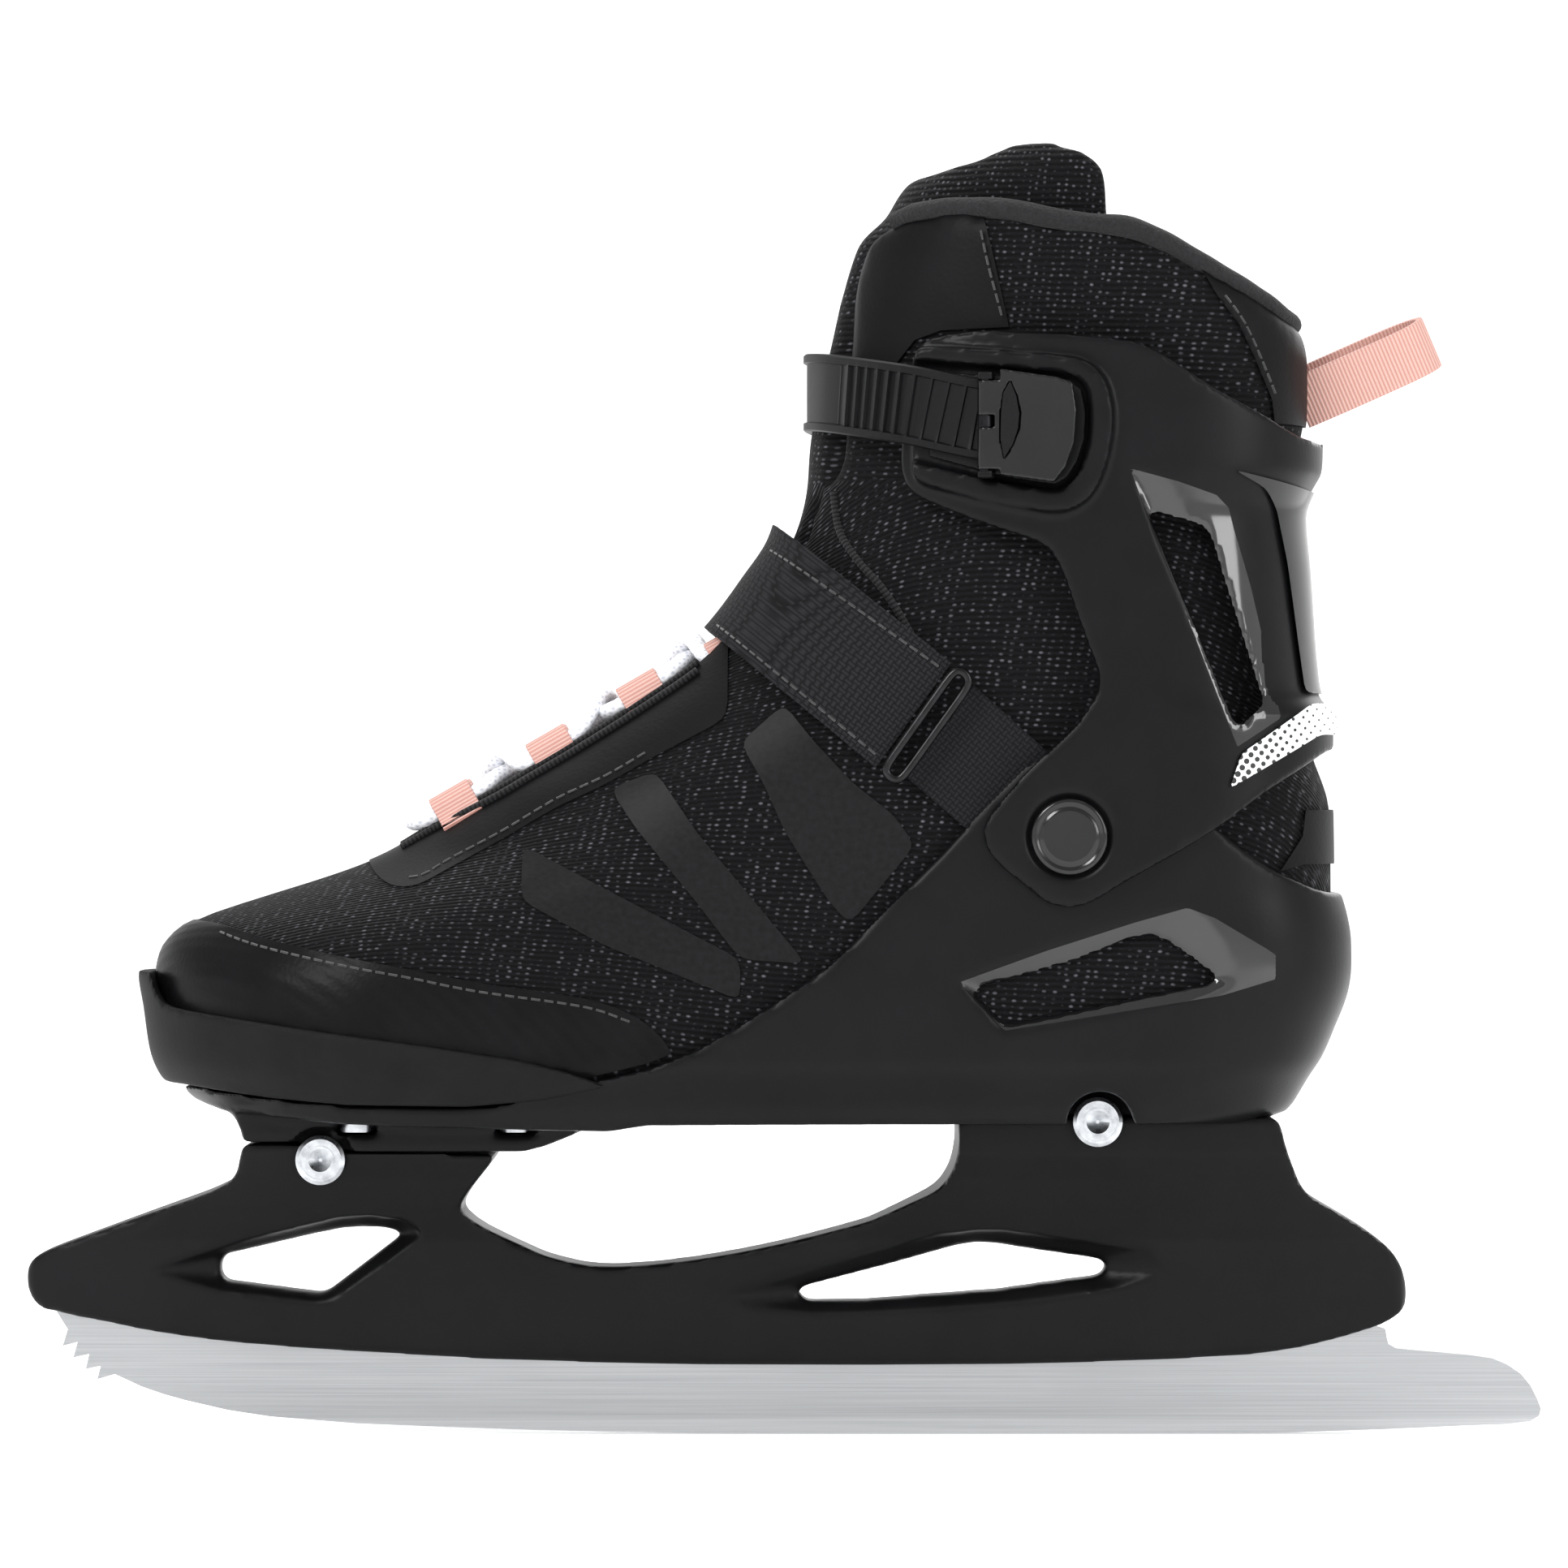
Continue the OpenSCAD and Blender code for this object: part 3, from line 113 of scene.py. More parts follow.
def ramp(tree, value, stops):
    """Colours over a value; each stop is a place and a linear colour."""
    node = add(tree, "ValToRGB", {"Fac": value})
    for element, (place, colour) in zip(node.color_ramp.elements, (stops[0], stops[-1])):
        element.position, element.color = place, colour
    for place, colour in stops[1:-1]:
        node.color_ramp.elements.new(place).color = colour
    return node.outputs["Color"]


def relief(tree, surface, height, depth, strength=1.0, under=None):
    """Bump of a height pattern whose full step is depth millimetres."""
    inputs = {"Height": height, "Distance": depth * MM, "Strength": strength}
    if under is not None:
        inputs["Normal"] = under
    bump = add(tree, "Bump", inputs).outputs["Normal"]
    tree.links.new(bump, surface.inputs["Normal"])
    return bump


def bands(period):
    """Scale of a wave texture whose bands are period millimetres apart."""
    return math.tau / (20 * period * MM)


# Seamless paper lit from behind: matt, with the faint cloudiness of pulp.
paper, tree, surface, at = finish("seamless_paper", Roughness=0.9, Emission_Color=(1, 1, 1, 1),
                                  Emission_Strength=0.34)
cloud = add(tree, "TexNoise", {"Vector": at, "Scale": 9.0, "Detail": 4.0}).outputs["Fac"]
tree.links.new(ramp(tree, cloud, [(0.3, srgb("#fbfbfb")), (0.7, srgb("#fdfdfd"))]),
               surface.inputs["Base Color"])

bm = bmesh.new()
floor_r, rise_r = 2.6, 1.2
edge = [bm.verts.new((0, 0, 0)), bm.verts.new((floor_r, 0, 0))]
edge += [bm.verts.new((floor_r + rise_r * math.sin(a), 0, rise_r * (1 - math.cos(a))))
         for a in (math.radians(15 * k) for k in range(1, 7))]
for a, b in zip(edge, edge[1:]):
    bm.edges.new((a, b))
bmesh.ops.spin(bm, geom=bm.verts[:] + bm.edges[:], axis=(0, 0, 1), cent=(0, 0, 0),
               angle=math.tau, steps=72, use_merge=True)
bmesh.ops.remove_doubles(bm, verts=bm.verts, dist=1e-5)
bmesh.ops.recalc_face_normals(bm, faces=bm.faces)
sweep = bpy.data.objects.new("studio_sweep", bpy.data.meshes.new("studio_sweep"))
bm.to_mesh(sweep.data)
bm.free()
sweep.data.materials.append(paper)
for face in sweep.data.polygons:
    face.use_smooth = True
bpy.context.scene.collection.objects.link(sweep)

sky = bpy.data.worlds.new("pale_room")
bpy.context.scene.world = sky
sky.use_nodes = True
sky.node_tree.nodes["Background"].inputs["Color"].default_value = (1, 1, 1, 1)
sky.node_tree.nodes["Background"].inputs["Strength"].default_value = 0.62

# ---- Blade -------------------------------------------------------------------
# Stamped martensitic stainless strip, heat treated, with toe picks cut in its nose. The sides
# are belt brushed along the blade, and the running edge is ground brighter.

steel, tree, surface, at = finish("brushed_stainless_steel", Metallic=1.0, Roughness=0.3)
along = add(tree, "Mapping", {"Vector": at, "Scale": (14, 1, 2600)}).outputs["Vector"]
grain = add(tree, "TexNoise", {"Vector": along, "Scale": 1.0, "Detail": 5.0}).outputs["Fac"]
broad = add(tree, "TexNoise", {"Vector": at, "Scale": 22.0, "Detail": 3.0}).outputs["Fac"]
height = add(tree, "SeparateXYZ", {"Vector": at}).outputs["Z"]
ground = add(tree, "MapRange", {"Value": height, "From Min": 0.0032,
                                "From Max": 0.0042}).outputs[0]
brushed = ramp(tree, grain, [(0.3, srgb("#97999b")), (0.7, srgb("#b3b4b6"))])
shine = ramp(tree, ground, [(0, srgb("#c9cbcd")), (1, srgb("#a5a7a9"))])
mixed = add(tree, "Mix", {"Factor": 0.35, 6: brushed, 7: shine}, data_type="RGBA").outputs[2]
tree.links.new(mixed, surface.inputs["Base Color"])
rough = add(tree, "MapRange", {"Value": broad, "To Min": 0.24, "To Max": 0.4}).outputs[0]
tree.links.new(rough, surface.inputs["Roughness"])
relief(tree, surface, grain, 0.012, 0.6)


def dress(node, material):
    """Give a CAD node's own object one material."""
    nodes[node].data.materials.clear()
    nodes[node].data.materials.append(material)


dress("blade", steel)

# ---- Blade holder ------------------------------------------------------------
# One glass-filled nylon moulding with a front and a rear pillar, hollow between them, with two
# bevelled windows. It is spark-eroded matt outside; mould edges are rounded by about 1 mm.


def moulded(name, colour, roughness, grain_mm, depth_mm, edge="#101012", sheen=0.14):
    """Moulded plastic: a spark-eroded skin, faint handling marks and paler worn edges.

    A float mark on the mesh, "bevel", above zero inside a window's lip, polishes it.
    """
    material, tree, surface, at = finish(name, Roughness=roughness, IOR=1.5,
                                         Specular_IOR_Level=sheen)
    lip = add(tree, "Attribute", attribute_name="bevel").outputs["Fac"]
    lip = add(tree, "MapRange", {"Value": lip, "From Min": 0.02, "From Max": 0.12}).outputs[0]
    skin = add(tree, "TexNoise", {"Vector": at, "Scale": 1000 / grain_mm, "Detail": 2.0})
    marks = add(tree, "TexNoise", {"Vector": at, "Scale": 34.0, "Detail": 6.0,
                                   "Roughness": 0.65})
    worn = add(tree, "NewGeometry").outputs["Pointiness"]
    rim = add(tree, "MapRange", {"Value": worn, "From Min": 0.52, "From Max": 0.62}).outputs[0]
    base = ramp(tree, marks.outputs["Fac"], [(0.35, srgb(colour)), (0.75, srgb(edge))])
    base = add(tree, "Mix", {"Factor": add(tree, "Math", {0: rim, 1: 0.35},
                                           operation="MULTIPLY").outputs[0],
                             6: base, 7: srgb(edge)}, data_type="RGBA").outputs[2]
    tree.links.new(base, surface.inputs["Base Color"])
    rough = add(tree, "MapRange", {"Value": marks.outputs["Fac"], "To Min": roughness - 0.07,
                                   "To Max": roughness + 0.1}).outputs[0]
    rough = add(tree, "Mix", {"Factor": lip, 2: rough, 3: 0.09}).outputs[0]
    tree.links.new(rough, surface.inputs["Roughness"])
    level = add(tree, "Mix", {"Factor": lip, 2: sheen, 3: 0.8}).outputs[0]
    tree.links.new(level, surface.inputs["Specular IOR Level"])
    grain = add(tree, "Mix", {"Factor": lip, 2: skin.outputs["Fac"], 3: 0.5}).outputs[0]
    relief(tree, surface, grain, depth_mm, 0.7)
    return material


def eased(points, r=2.0, rounds=2):
    """Outline with its corners cut back, by no more than r millimetres at a time."""
    for _ in range(rounds):
        out = []
        for i, p in enumerate(points):
            p = Vector(p)
            for q in (Vector(points[i - 1]), Vector(points[(i + 1) % len(points)])):
                gap = (q - p).length
                out.append(tuple(p + (q - p) * min(0.25, r / max(gap, 1e-6))))
        points = out
    return points


def prism(points, y0=-200.0, y1=200.0):
    """Solid of a side outline, from y0 to y1 across the skate, in millimetres."""
    made = bmesh.new()
    ring = [made.verts.new((x, y0, z)) for x, z in points]
    face = made.faces.new(ring)
    out = bmesh.ops.extrude_face_region(made, geom=[face])["geom"]
    bmesh.ops.translate(made, vec=(0, y1 - y0, 0),
                        verts=[v for v in out if isinstance(v, bmesh.types.BMVert)])
    bmesh.ops.recalc_face_normals(made, faces=made.faces)
    return made


def lofted(levels):
    """A grid laid on rings of points, welded where it meets itself, its open ends filled."""
    made = bmesh.new()
    cols = len(levels[0]) + 1
    bmesh.ops.create_grid(made, x_segments=cols - 1, y_segments=len(levels) - 1, size=1)
    made.verts.ensure_lookup_table()
    for i, vert in enumerate(made.verts):
        vert.co = levels[i // cols][(i % cols) % (cols - 1)]
    bmesh.ops.remove_doubles(made, verts=made.verts, dist=1e-4)
    bmesh.ops.dissolve_degenerate(made, edges=made.edges, dist=1e-4)
    bmesh.ops.holes_fill(made, edges=[e for e in made.edges if e.is_boundary], sides=0)
    bmesh.ops.recalc_face_normals(made, faces=made.faces)
    return made


def scratch(made, name="scratch"):
    mesh = bpy.data.meshes.new(name)
    made.to_mesh(mesh)
    made.free()
    obj = bpy.data.objects.new(name, mesh)
    bpy.context.scene.collection.objects.link(obj)
    return obj


def applied(obj):
    """The mesh of an object with its modifiers applied, as a bmesh; the object goes."""
    bpy.context.view_layer.update()
    made = bmesh.new()
    made.from_object(obj, bpy.context.evaluated_depsgraph_get())
    mesh = obj.data
    bpy.data.objects.remove(obj)
    bpy.data.meshes.remove(mesh)
    return made


def joined(made, others, operation="DIFFERENCE"):
    """Boolean of a closed bmesh with others, one after another."""
    for other in others:
        base, tool = scratch(made), scratch(other, "tool")
        cut = base.modifiers.new("cut", "BOOLEAN")
        cut.operation, cut.object, cut.solver = operation, tool, "MANIFOLD"
        tool.hide_render = True
        made = applied(base)
        bpy.data.meshes.remove(tool.data)
    return made


def remeshed(made, voxel, rounds, factor=0.5):
    """Even skin over a solid, its edges rounded by smoothing."""
    obj = scratch(made)
    skin = obj.modifiers.new("skin", "REMESH")
    skin.mode, skin.voxel_size = "VOXEL", voxel
    soften = obj.modifiers.new("soften", "SMOOTH")
    soften.factor, soften.iterations = factor, rounds
    return applied(obj)


def piece(made, name, body, material, slot, *replaced, sharp=38):
    """Hand a bmesh in millimetres over as a piece of the skate."""
    bmesh.ops.scale(made, vec=(MM, MM, MM), verts=made.verts)
    for face in made.faces:
        face.smooth = True
    for seam in made.edges:
        if len(seam.link_faces) == 2 and seam.calc_face_angle(0) > math.radians(sharp):
            seam.smooth = False
    mesh = bpy.data.meshes.new(name)
    made.to_mesh(mesh)
    made.free()
    obj = bpy.data.objects.new(name, mesh)
    bpy.context.scene.collection.objects.link(obj)
    mesh.materials.append(material)
    if body:
        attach(obj, body)
    if replaced:
        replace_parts(obj, *replaced)
    return obj


def cylinder(d, y0, y1, x, z, sides=64):
    """Solid round bar across the skate."""
    made = bmesh.new()
    bmesh.ops.create_cone(made, cap_ends=True, segments=sides, radius1=d / 2, radius2=d / 2,
                          depth=abs(y1 - y0))
    bmesh.ops.rotate(made, cent=(0, 0, 0), verts=made.verts,
                     matrix=Matrix.Rotation(math.radians(90), 3, "X"))
    bmesh.ops.translate(made, vec=(x, (y0 + y1) / 2, z), verts=made.verts)
    return made


def tapered(lip, hole, y_lip, y_hole):
    """Cutters for a bevelled window: wide at y_lip, down to the hole at y_hole, both sides."""
    cutters = []
    for side in (-1, 1):
        made = bmesh.new()
        for points, y in ((lip, y_lip + 30), (lip, y_lip), (hole, y_hole), (hole, y_hole - 0.1)):
            for x, z in points:
                made.verts.new((x, side * y, z))
        found = bmesh.ops.convex_hull(made, input=made.verts)
        bmesh.ops.delete(made, geom=[g for g in found["geom_interior"]
                                     if isinstance(g, bmesh.types.BMVert)], context="VERTS")
        bmesh.ops.recalc_face_normals(made, faces=made.faces)
        cutters.append(made)
    return cutters


nylon = moulded("glass_filled_nylon", "#0a0a0b", 0.38, 0.9, 0.05)
polished = moulded("polished_black_plastic", "#050506", 0.12, 1.2, 0.006, "#0d0d0f", 0.5)

holder_edge = [(-170, 29.1), (-165, 27.8), (-159, 26.8), (-150, 24.8), (-140, 23.2), (-130, 21.9),
               (-110, 20.2), (-90, 19), (-70, 17.8), (-45, 17), (-20, 16.4), (20, 16.3),
               (50, 16.5), (70, 17), (90, 17.7), (110, 18.9), (120, 20.4), (130, 22.9),
               (138.7, 25.6)]
holder_outline = [(-176.9, 36.2), (-176.5, 33.5), (-174.6, 30.6), (-172.3, 29.4)] + holder_edge + [
    (141.4, 27), (144.1, 28.8), (145.2, 30.6), (145.4, 34.2), (144.6, 38.2), (142.8, 41.8),
    (139.6, 45.2), (135.1, 48.5), (129.7, 51.8), (124.4, 54.8), (121.2, 57), (119.4, 59.7),
    (117.6, 63.8), (115.8, 68.7), (114.4, 75), (40, 75), (40.5, 70), (40.2, 66.9), (39.2, 62.7),
    (37.3, 59.6), (35, 57.3), (30, 54.9), (20, 50.2), (10, 47.5), (0, 45), (-10, 42.9),
    (-20, 41.2), (-30, 40), (-39.2, 39.4), (-46, 39.7), (-55, 41.8), (-60, 44), (-70, 48.7),
    (-74, 51.5), (-75.6, 53.4), (-73.2, 57.5), (-66, 66.5), (-101, 66.8), (-114, 69),
    (-125.2, 69), (-126, 64.6), (-126.9, 61.4), (-129.2, 59.2), (-134.6, 56.7), (-140, 54.8),
    (-150, 51.3), (-170, 44), (-174.5, 42), (-176.7, 39.5)]
front_window = [(-130.4, 42.2), (-124.6, 43.5), (-110, 46.9), (-103, 48.3), (-98.5, 48.6),
                (-93.8, 48.5), (-90.8, 47.8), (-89.1, 46.9), (-106.5, 33.6), (-108.5, 33.1),
                (-130, 35.9), (-131.4, 36.9), (-131.7, 39.2), (-131.2, 41.4)]
front_lip = [(-149, 38.6), (-126, 45.6), (-103, 51.2), (-96, 51.6), (-88, 50.4), (-84, 47.5),
             (-91.5, 42), (-104, 31.6), (-110, 30.8), (-132, 33.6)]
rear_window = [(3, 32.6), (4.2, 34.6), (25, 40), (40, 44.2), (44.9, 45), (49, 44.8),
               (59.7, 43.1), (73.7, 41.1), (75.5, 39.5), (73.9, 37.1), (70, 36.6), (59.7, 35.2),
               (50, 33.8), (35, 32.7), (20, 31.5), (5.8, 31.3)]
rear_lip = [(-20, 32.6), (0, 37), (20, 43), (35, 46.9), (45, 48.1), (51, 48.1), (85, 43.4),
            (89.4, 38), (79.5, 34), (60, 30.6), (40, 28.8), (10, 27.4), (-14, 29.4)]
holder_w, tower_w = 13.0, 46.0
# Half width at each height and along the length, as the two pillars flare up to the boot.
holder_flare = [(5.5, 14), (6.5, 22), (7.3, 34), (9, 46), (12.5, 53), (19, 61), (21.6, 66),
                (22.4, 80)]
holder_plan = [(-178, 3), (-175, 5.6), (-170, 7.2), (-150, 10), (-128, 20), (-124, 23),
               (115, 23), (119, 21), (128, 13), (140, 9.5), (144, 6.5), (146, 3.5)]


def both_sides(points):
    return points + [(x, -y) for x, y in reversed(points)]


flare = prism([(y, z) for y, z in holder_flare] + [(-y, z) for y, z in reversed(holder_flare)])
bmesh.ops.rotate(flare, cent=(0, 0, 0), verts=flare.verts,
                 matrix=Matrix.Rotation(math.pi / 2, 3, "Z"))
plan = prism(both_sides(holder_plan), 0, 200)
bmesh.ops.rotate(plan, cent=(0, 0, 0), verts=plan.verts,
                 matrix=Matrix.Rotation(math.pi / 2, 3, "X"))
bmesh.ops.scale(plan, vec=(1, 1, -1), verts=plan.verts)
bmesh.ops.translate(plan, vec=(0, 0, 100), verts=plan.verts)
bmesh.ops.recalc_face_normals(plan, faces=plan.faces)
holder = joined(prism(eased(holder_outline, 1.5), -tower_w / 2, tower_w / 2), [flare, plan],
                "INTERSECT")
bolts = [(-107, 65.2), (72.4, 74)]
lugs = [(-121.3, 53.7, -92.7, 78.3), (57.7, 59.7, 87.3, 84.3)]
slot_cut = prism([(x, z - 4) for x, z in holder_edge] + [(x, z + 9.3) for x, z in
                                                       reversed(holder_edge)], -2.45, 2.45)
cuts = [slot_cut]
cuts += [prism(front_window), prism(rear_window)]
cuts += tapered(front_lip, front_window, holder_w / 2 + 1.6, holder_w / 2 - 2.4)
cuts += tapered(rear_lip, rear_window, holder_w / 2 + 1.6, holder_w / 2 - 2.4)
cuts += [prism([(a, b), (c, b), (c, d), (a, d)], -11.3, 11.3) for a, b, c, d in lugs]
for x, z in bolts:
    cuts += [cylinder(9.1, -60, 60, x, z), cylinder(14.4, -60, -21.8, x, z),
             cylinder(14.4, 21.8, 60, x, z)]
holder = remeshed(joined(holder, cuts), 0.9, 6)
piece(holder, "blade_holder_moulding", "boot", nylon, "holder_plastic", "blade_holder")

# ---- Fasteners ---------------------------------------------------------------
# Turned steel bolts, sleeve nuts, rivets and screws, bright zinc plated: fine turning rings and
# a slightly blue, cloudy shine.

zinc, tree, surface, at = finish("zinc_plated_steel", Metallic=1.0, Roughness=0.26)
cloud = add(tree, "TexNoise", {"Vector": at, "Scale": 420.0, "Detail": 3.0}).outputs["Fac"]
tree.links.new(ramp(tree, cloud, [(0.3, srgb("#a9acb0")), (0.7, srgb("#d9dcdf"))]),
               surface.inputs["Base Color"])
tree.links.new(add(tree, "MapRange", {"Value": cloud, "To Min": 0.2, "To Max": 0.38}).outputs[0],
               surface.inputs["Roughness"])
relief(tree, surface, cloud, 0.02, 0.5)
for name in ("cross_bolts", "cross_bolt_nuts", "sole_screws", "pivot_bolts",
             "pivot_nuts", "strap_screw", "strap_nut"):
    dress(name, zinc)

# The small pins and rivets of the buckle and the ring anchor are blacked in a hot salt bath.
oxide, tree, surface, at = finish("black_oxide_steel", Metallic=0.8, Roughness=0.35)
scale = add(tree, "TexNoise", {"Vector": at, "Scale": 700.0, "Detail": 3.0}).outputs["Fac"]
tree.links.new(ramp(tree, scale, [(0.3, srgb("#0e0e10")), (0.7, srgb("#232327"))]),
               surface.inputs["Base Color"])
relief(tree, surface, scale, 0.02, 0.5)
for name in ("buckle_rivets", "anchor_rivets", "lever_pin", "lever_spring", "pawl_pin", "pawl"):
    dress(name, oxide)

# ---- Boot form ---------------------------------------------------------------
# The last that the boot is pulled over: its front and back seen from the side, and its half
# width in plan. Every shell, skin and strap of the boot lies at its own distance from this form.

front_line = [(78, -134), (84, -141), (90, -143.5), (100, -145), (108, -146.2), (113, -145.2),
              (116, -143.3), (119, -140), (121.7, -134.2), (123.1, -130), (126.3, -120),
              (129.4, -110), (132.8, -100), (136.5, -91.5), (142, -82.5), (150, -70), (160, -53),
              (170, -37), (180, -22.5), (190, -12.5), (200, -5), (210, 1.5), (220, 4.2), (234, 6),
              (254, 10.5), (266, 13.2), (280, 17.5), (290, 22), (296, 28), (301, 36)]
back_line = [(78, 112), (80, 116), (84, 119), (88, 121.5), (92, 123.5), (100, 126), (110, 127.6),
             (126, 127.8), (145, 127.6), (152, 126), (158, 123.5), (168, 121.5), (172, 118.6),
             (202, 117), (214, 115.8), (222, 116.5), (230, 120), (236, 121.5), (250, 121.6),
             (256, 120.6), (262, 119), (270, 115), (290, 106), (301, 100)]
foot_plan = [(-146, 43), (-110, 46.5), (-80, 47.5), (-50, 45.5), (-20, 42), (0, 40), (30, 38),
             (60, 37), (128, 36)]
leg_plan = [(150, 37), (250, 37), (262, 38), (301, 40)]
toe_plan = [(80, 46), (105, 52), (115, 62), (125, 74), (170, 70), (190, 60), (210, 52), (301, 50)]


def lookup(table, v):
    """Smooth value between the rows of a table, without overshoot."""
    if v <= table[0][0]:
        return table[0][1]
    if v >= table[-1][0]:
        return table[-1][1]
    k = max(i for i, row in enumerate(table) if row[0] <= v)
    (a, p), (b, q) = table[k], table[k + 1]

    def tangent(i):
        if i == 0 or i == len(table) - 1:
            return 0.0 if i else (table[1][1] - table[0][1]) / (table[1][0] - table[0][0])
        left = (table[i][1] - table[i - 1][1]) / (table[i][0] - table[i - 1][0])
        right = (table[i + 1][1] - table[i][1]) / (table[i + 1][0] - table[i][0])
        return 0.0 if left * right <= 0 else 2 * left * right / (left + right)

    t, h = (v - a) / (b - a), b - a
    m, n = tangent(k) * h, tangent(k + 1) * h
    return (p * (2 * t ** 3 - 3 * t * t + 1) + m * (t ** 3 - 2 * t * t + t)
            + q * (3 * t * t - 2 * t ** 3) + n * (t ** 3 - t * t))


def ease(v):
    t = min(1.0, max(0.0, v))
    return t * t * (3 - 2 * t)


def closing(d, reach, power):
    return (1 - (1 - min(1.0, max(0.0, d / reach))) ** power) ** (1 / power)


def half_width(x, z):
    t = ease((z - 95) / 55)
    return (lookup(foot_plan, x) * (1 - t) + lookup(leg_plan, z) * t
            - 5 * (1 - ease((z - 76) / 12)))


def skin_y(x, z, off):
    """Distance of the skin from the middle plane, where it lies off millimetres outside."""
    xf, xb = lookup(front_line, z) - off, lookup(back_line, z) + off
    return ((half_width(x, z) + off) * closing(xb - x, 40 + off, 2.4)
            * closing(x - xf, lookup(toe_plan, z) + off, 2))


def boot_ring(z, off, half=72):
    """One level ring round the boot, grown outwards by off."""
    xf, xb = lookup(front_line, z) - off, lookup(back_line, z) + off
    ring = []
    for i in range(2 * half):
        x = xb + (xf - xb) * (1 - math.cos(math.pi * i / half)) / 2
        y = skin_y(x, z, off)
        ring.append((x, y if i <= half else -y, z))
    return ring


def heights(z0, z1, step):
    n = max(2, round((z1 - z0) / step))
    return [z0 + (z1 - z0) * i / n for i in range(n + 1)]


def boot_form(z0, z1, off, step=2.0, half=72):
    return lofted([boot_ring(z, off, half) for z in heights(z0, z1, step)])


def boot_skin(z0, z1, off_in, off_out, step=1.6, half=90):
    """A closed wall of the boot's skin between two offsets."""
    outer = [boot_ring(z, off_out, half) for z in heights(z0, z1, step)]
    inner = [boot_ring(z, off_in, half) for z in reversed(heights(z0, z1, step))]
    return lofted(outer + inner + [outer[0]])


def arc_wall(z0, z1, off_in, off_out, back, back_out, x_open, step=2.0, half=56):
    """A wall round the heel, open at the front, between two offsets."""
    levels = []
    for z in heights(z0, z1, step):
        arcs = []
        for off, xb in ((off_out, lookup(back, z) + back_out),
                        (off_in, lookup(back, z) + back_out - (off_out - off_in))):
            arc = []
            for i in range(-half, half + 1):
                x = xb - (xb - x_open) * (abs(i) / half) ** 1.9
                y = (half_width(x, z) + off) * closing(xb - x, 42 + off, 2.6)
                if z >= 190:
                    y *= closing(x - lookup(front_line, z) + off, lookup(toe_plan, z) + off, 2)
                arc.append((x, -y if i < 0 else y, z))
            arcs.append(arc)
        levels.append(arcs[0] + arcs[1][::-1])
    return lofted(levels)


# ---- Shell -------------------------------------------------------------------
# Injection-moulded sole and heel cup in one piece: a flat sole with a screw pedestal, and side
# wings that rise to the ankle pivot. Lightly grained, with a polished bevel round each window.

shell_plastic = moulded("moulded_polypropylene", "#0b0b0c", 0.35, 0.8, 0.035)
shell_back_line = [(74, 112), (76, 117.5), (80, 120.3), (84, 122.6), (88, 125.3), (92, 127.2),
                   (96, 128.8), (100, 130.5), (105, 132), (110, 132.5), (116, 132.4),
                   (122, 131.4), (128, 129.8), (150, 128)]
sole_top = [(-160, 82.8), (-138, 82.6), (-118, 80.4), (-100, 79), (-72, 78.6), (-55, 80),
            (-40, 83), (20, 90), (150, 90)]
sole_profile = [(-139, 81.6), (-138.6, 80.4), (-136.5, 78.6), (-131, 77), (-100, 74.4),
                (-60, 73.2), (-40, 72.7), (-30, 74.2), (-20, 75.5), (-10, 76.9), (0, 78.2),
                (10, 79.2), (20, 80.5), (30, 81.8), (35, 81.8), (38, 81), (42, 78), (48, 75.4),
                (110, 75.4), (118, 76.6), (122, 80), (128, 92)]
sole_profile += [(max(-139, min(128, x)), z - 0.3) for x, z in reversed(sole_top)]
shell_side = [(-62, 70), (-62, 80.4), (-50, 82.6), (-40, 85), (-30, 87.4), (-20, 91.4), (-10, 97),
              (0, 103.4), (10, 110.3), (20, 120), (30, 130.3), (36, 136), (40, 140.7),
              (44, 144.7), (50, 151), (56, 157), (64, 160), (74, 159), (84, 154), (92, 147.6),
              (98.9, 141.9), (105, 136.7), (112, 132.3), (118, 129.6), (124, 127.1), (140, 126),
              (140, 70)]
shell_window = [(43.2, 105.1), (50.4, 97.5), (100, 107.1), (89.7, 114.7), (85.3, 117.1),
                (80, 116.7), (65, 111.1)]
shell_lip = [(40, 106.8), (50.3, 95.6), (100, 103.6), (118.4, 109), (110.5, 114.3),
             (98.5, 121.4), (92.1, 123.8), (80, 120.4), (60, 114)]
pedestal = [(-134, 79), (-133.8, 77.7), (-127.7, 76.2), (-126.2, 74.2), (-125.2, 71.9),
            (-125, 69.4), (-114, 69.4), (-101, 67.2), (-60, 67.2), (-55, 68.5), (-50, 70.5),
            (-44, 73), (-44, 79)]
ankle = 37.0
shell_in, shell_out = 0.3, 3.5
webbing_patch = [(43.3, 174.6), (64.9, 155.1), (46.4, 137.7), (27.4, 154.1)]


def turned(points, z0, z1):
    """Solid of a plan outline between two heights."""
    made = bmesh.new()
    face = made.faces.new([made.verts.new((x, y, z0)) for x, y in points])
    out = bmesh.ops.extrude_face_region(made, geom=[face])["geom"]
    bmesh.ops.translate(made, vec=(0, 0, z1 - z0),
                        verts=[v for v in out if isinstance(v, bmesh.types.BMVert)])
    bmesh.ops.recalc_face_normals(made, faces=made.faces)
    return made


def inside(points, x, z):
    """Is a side position inside an outline?"""
    hit = False
    for (ax, az), (bx, bz) in zip(points, points[1:] + points[:1]):
        if (az > z) != (bz > z) and x < (bx - ax) * (z - az) / (bz - az) + ax:
            hit = not hit
    return hit


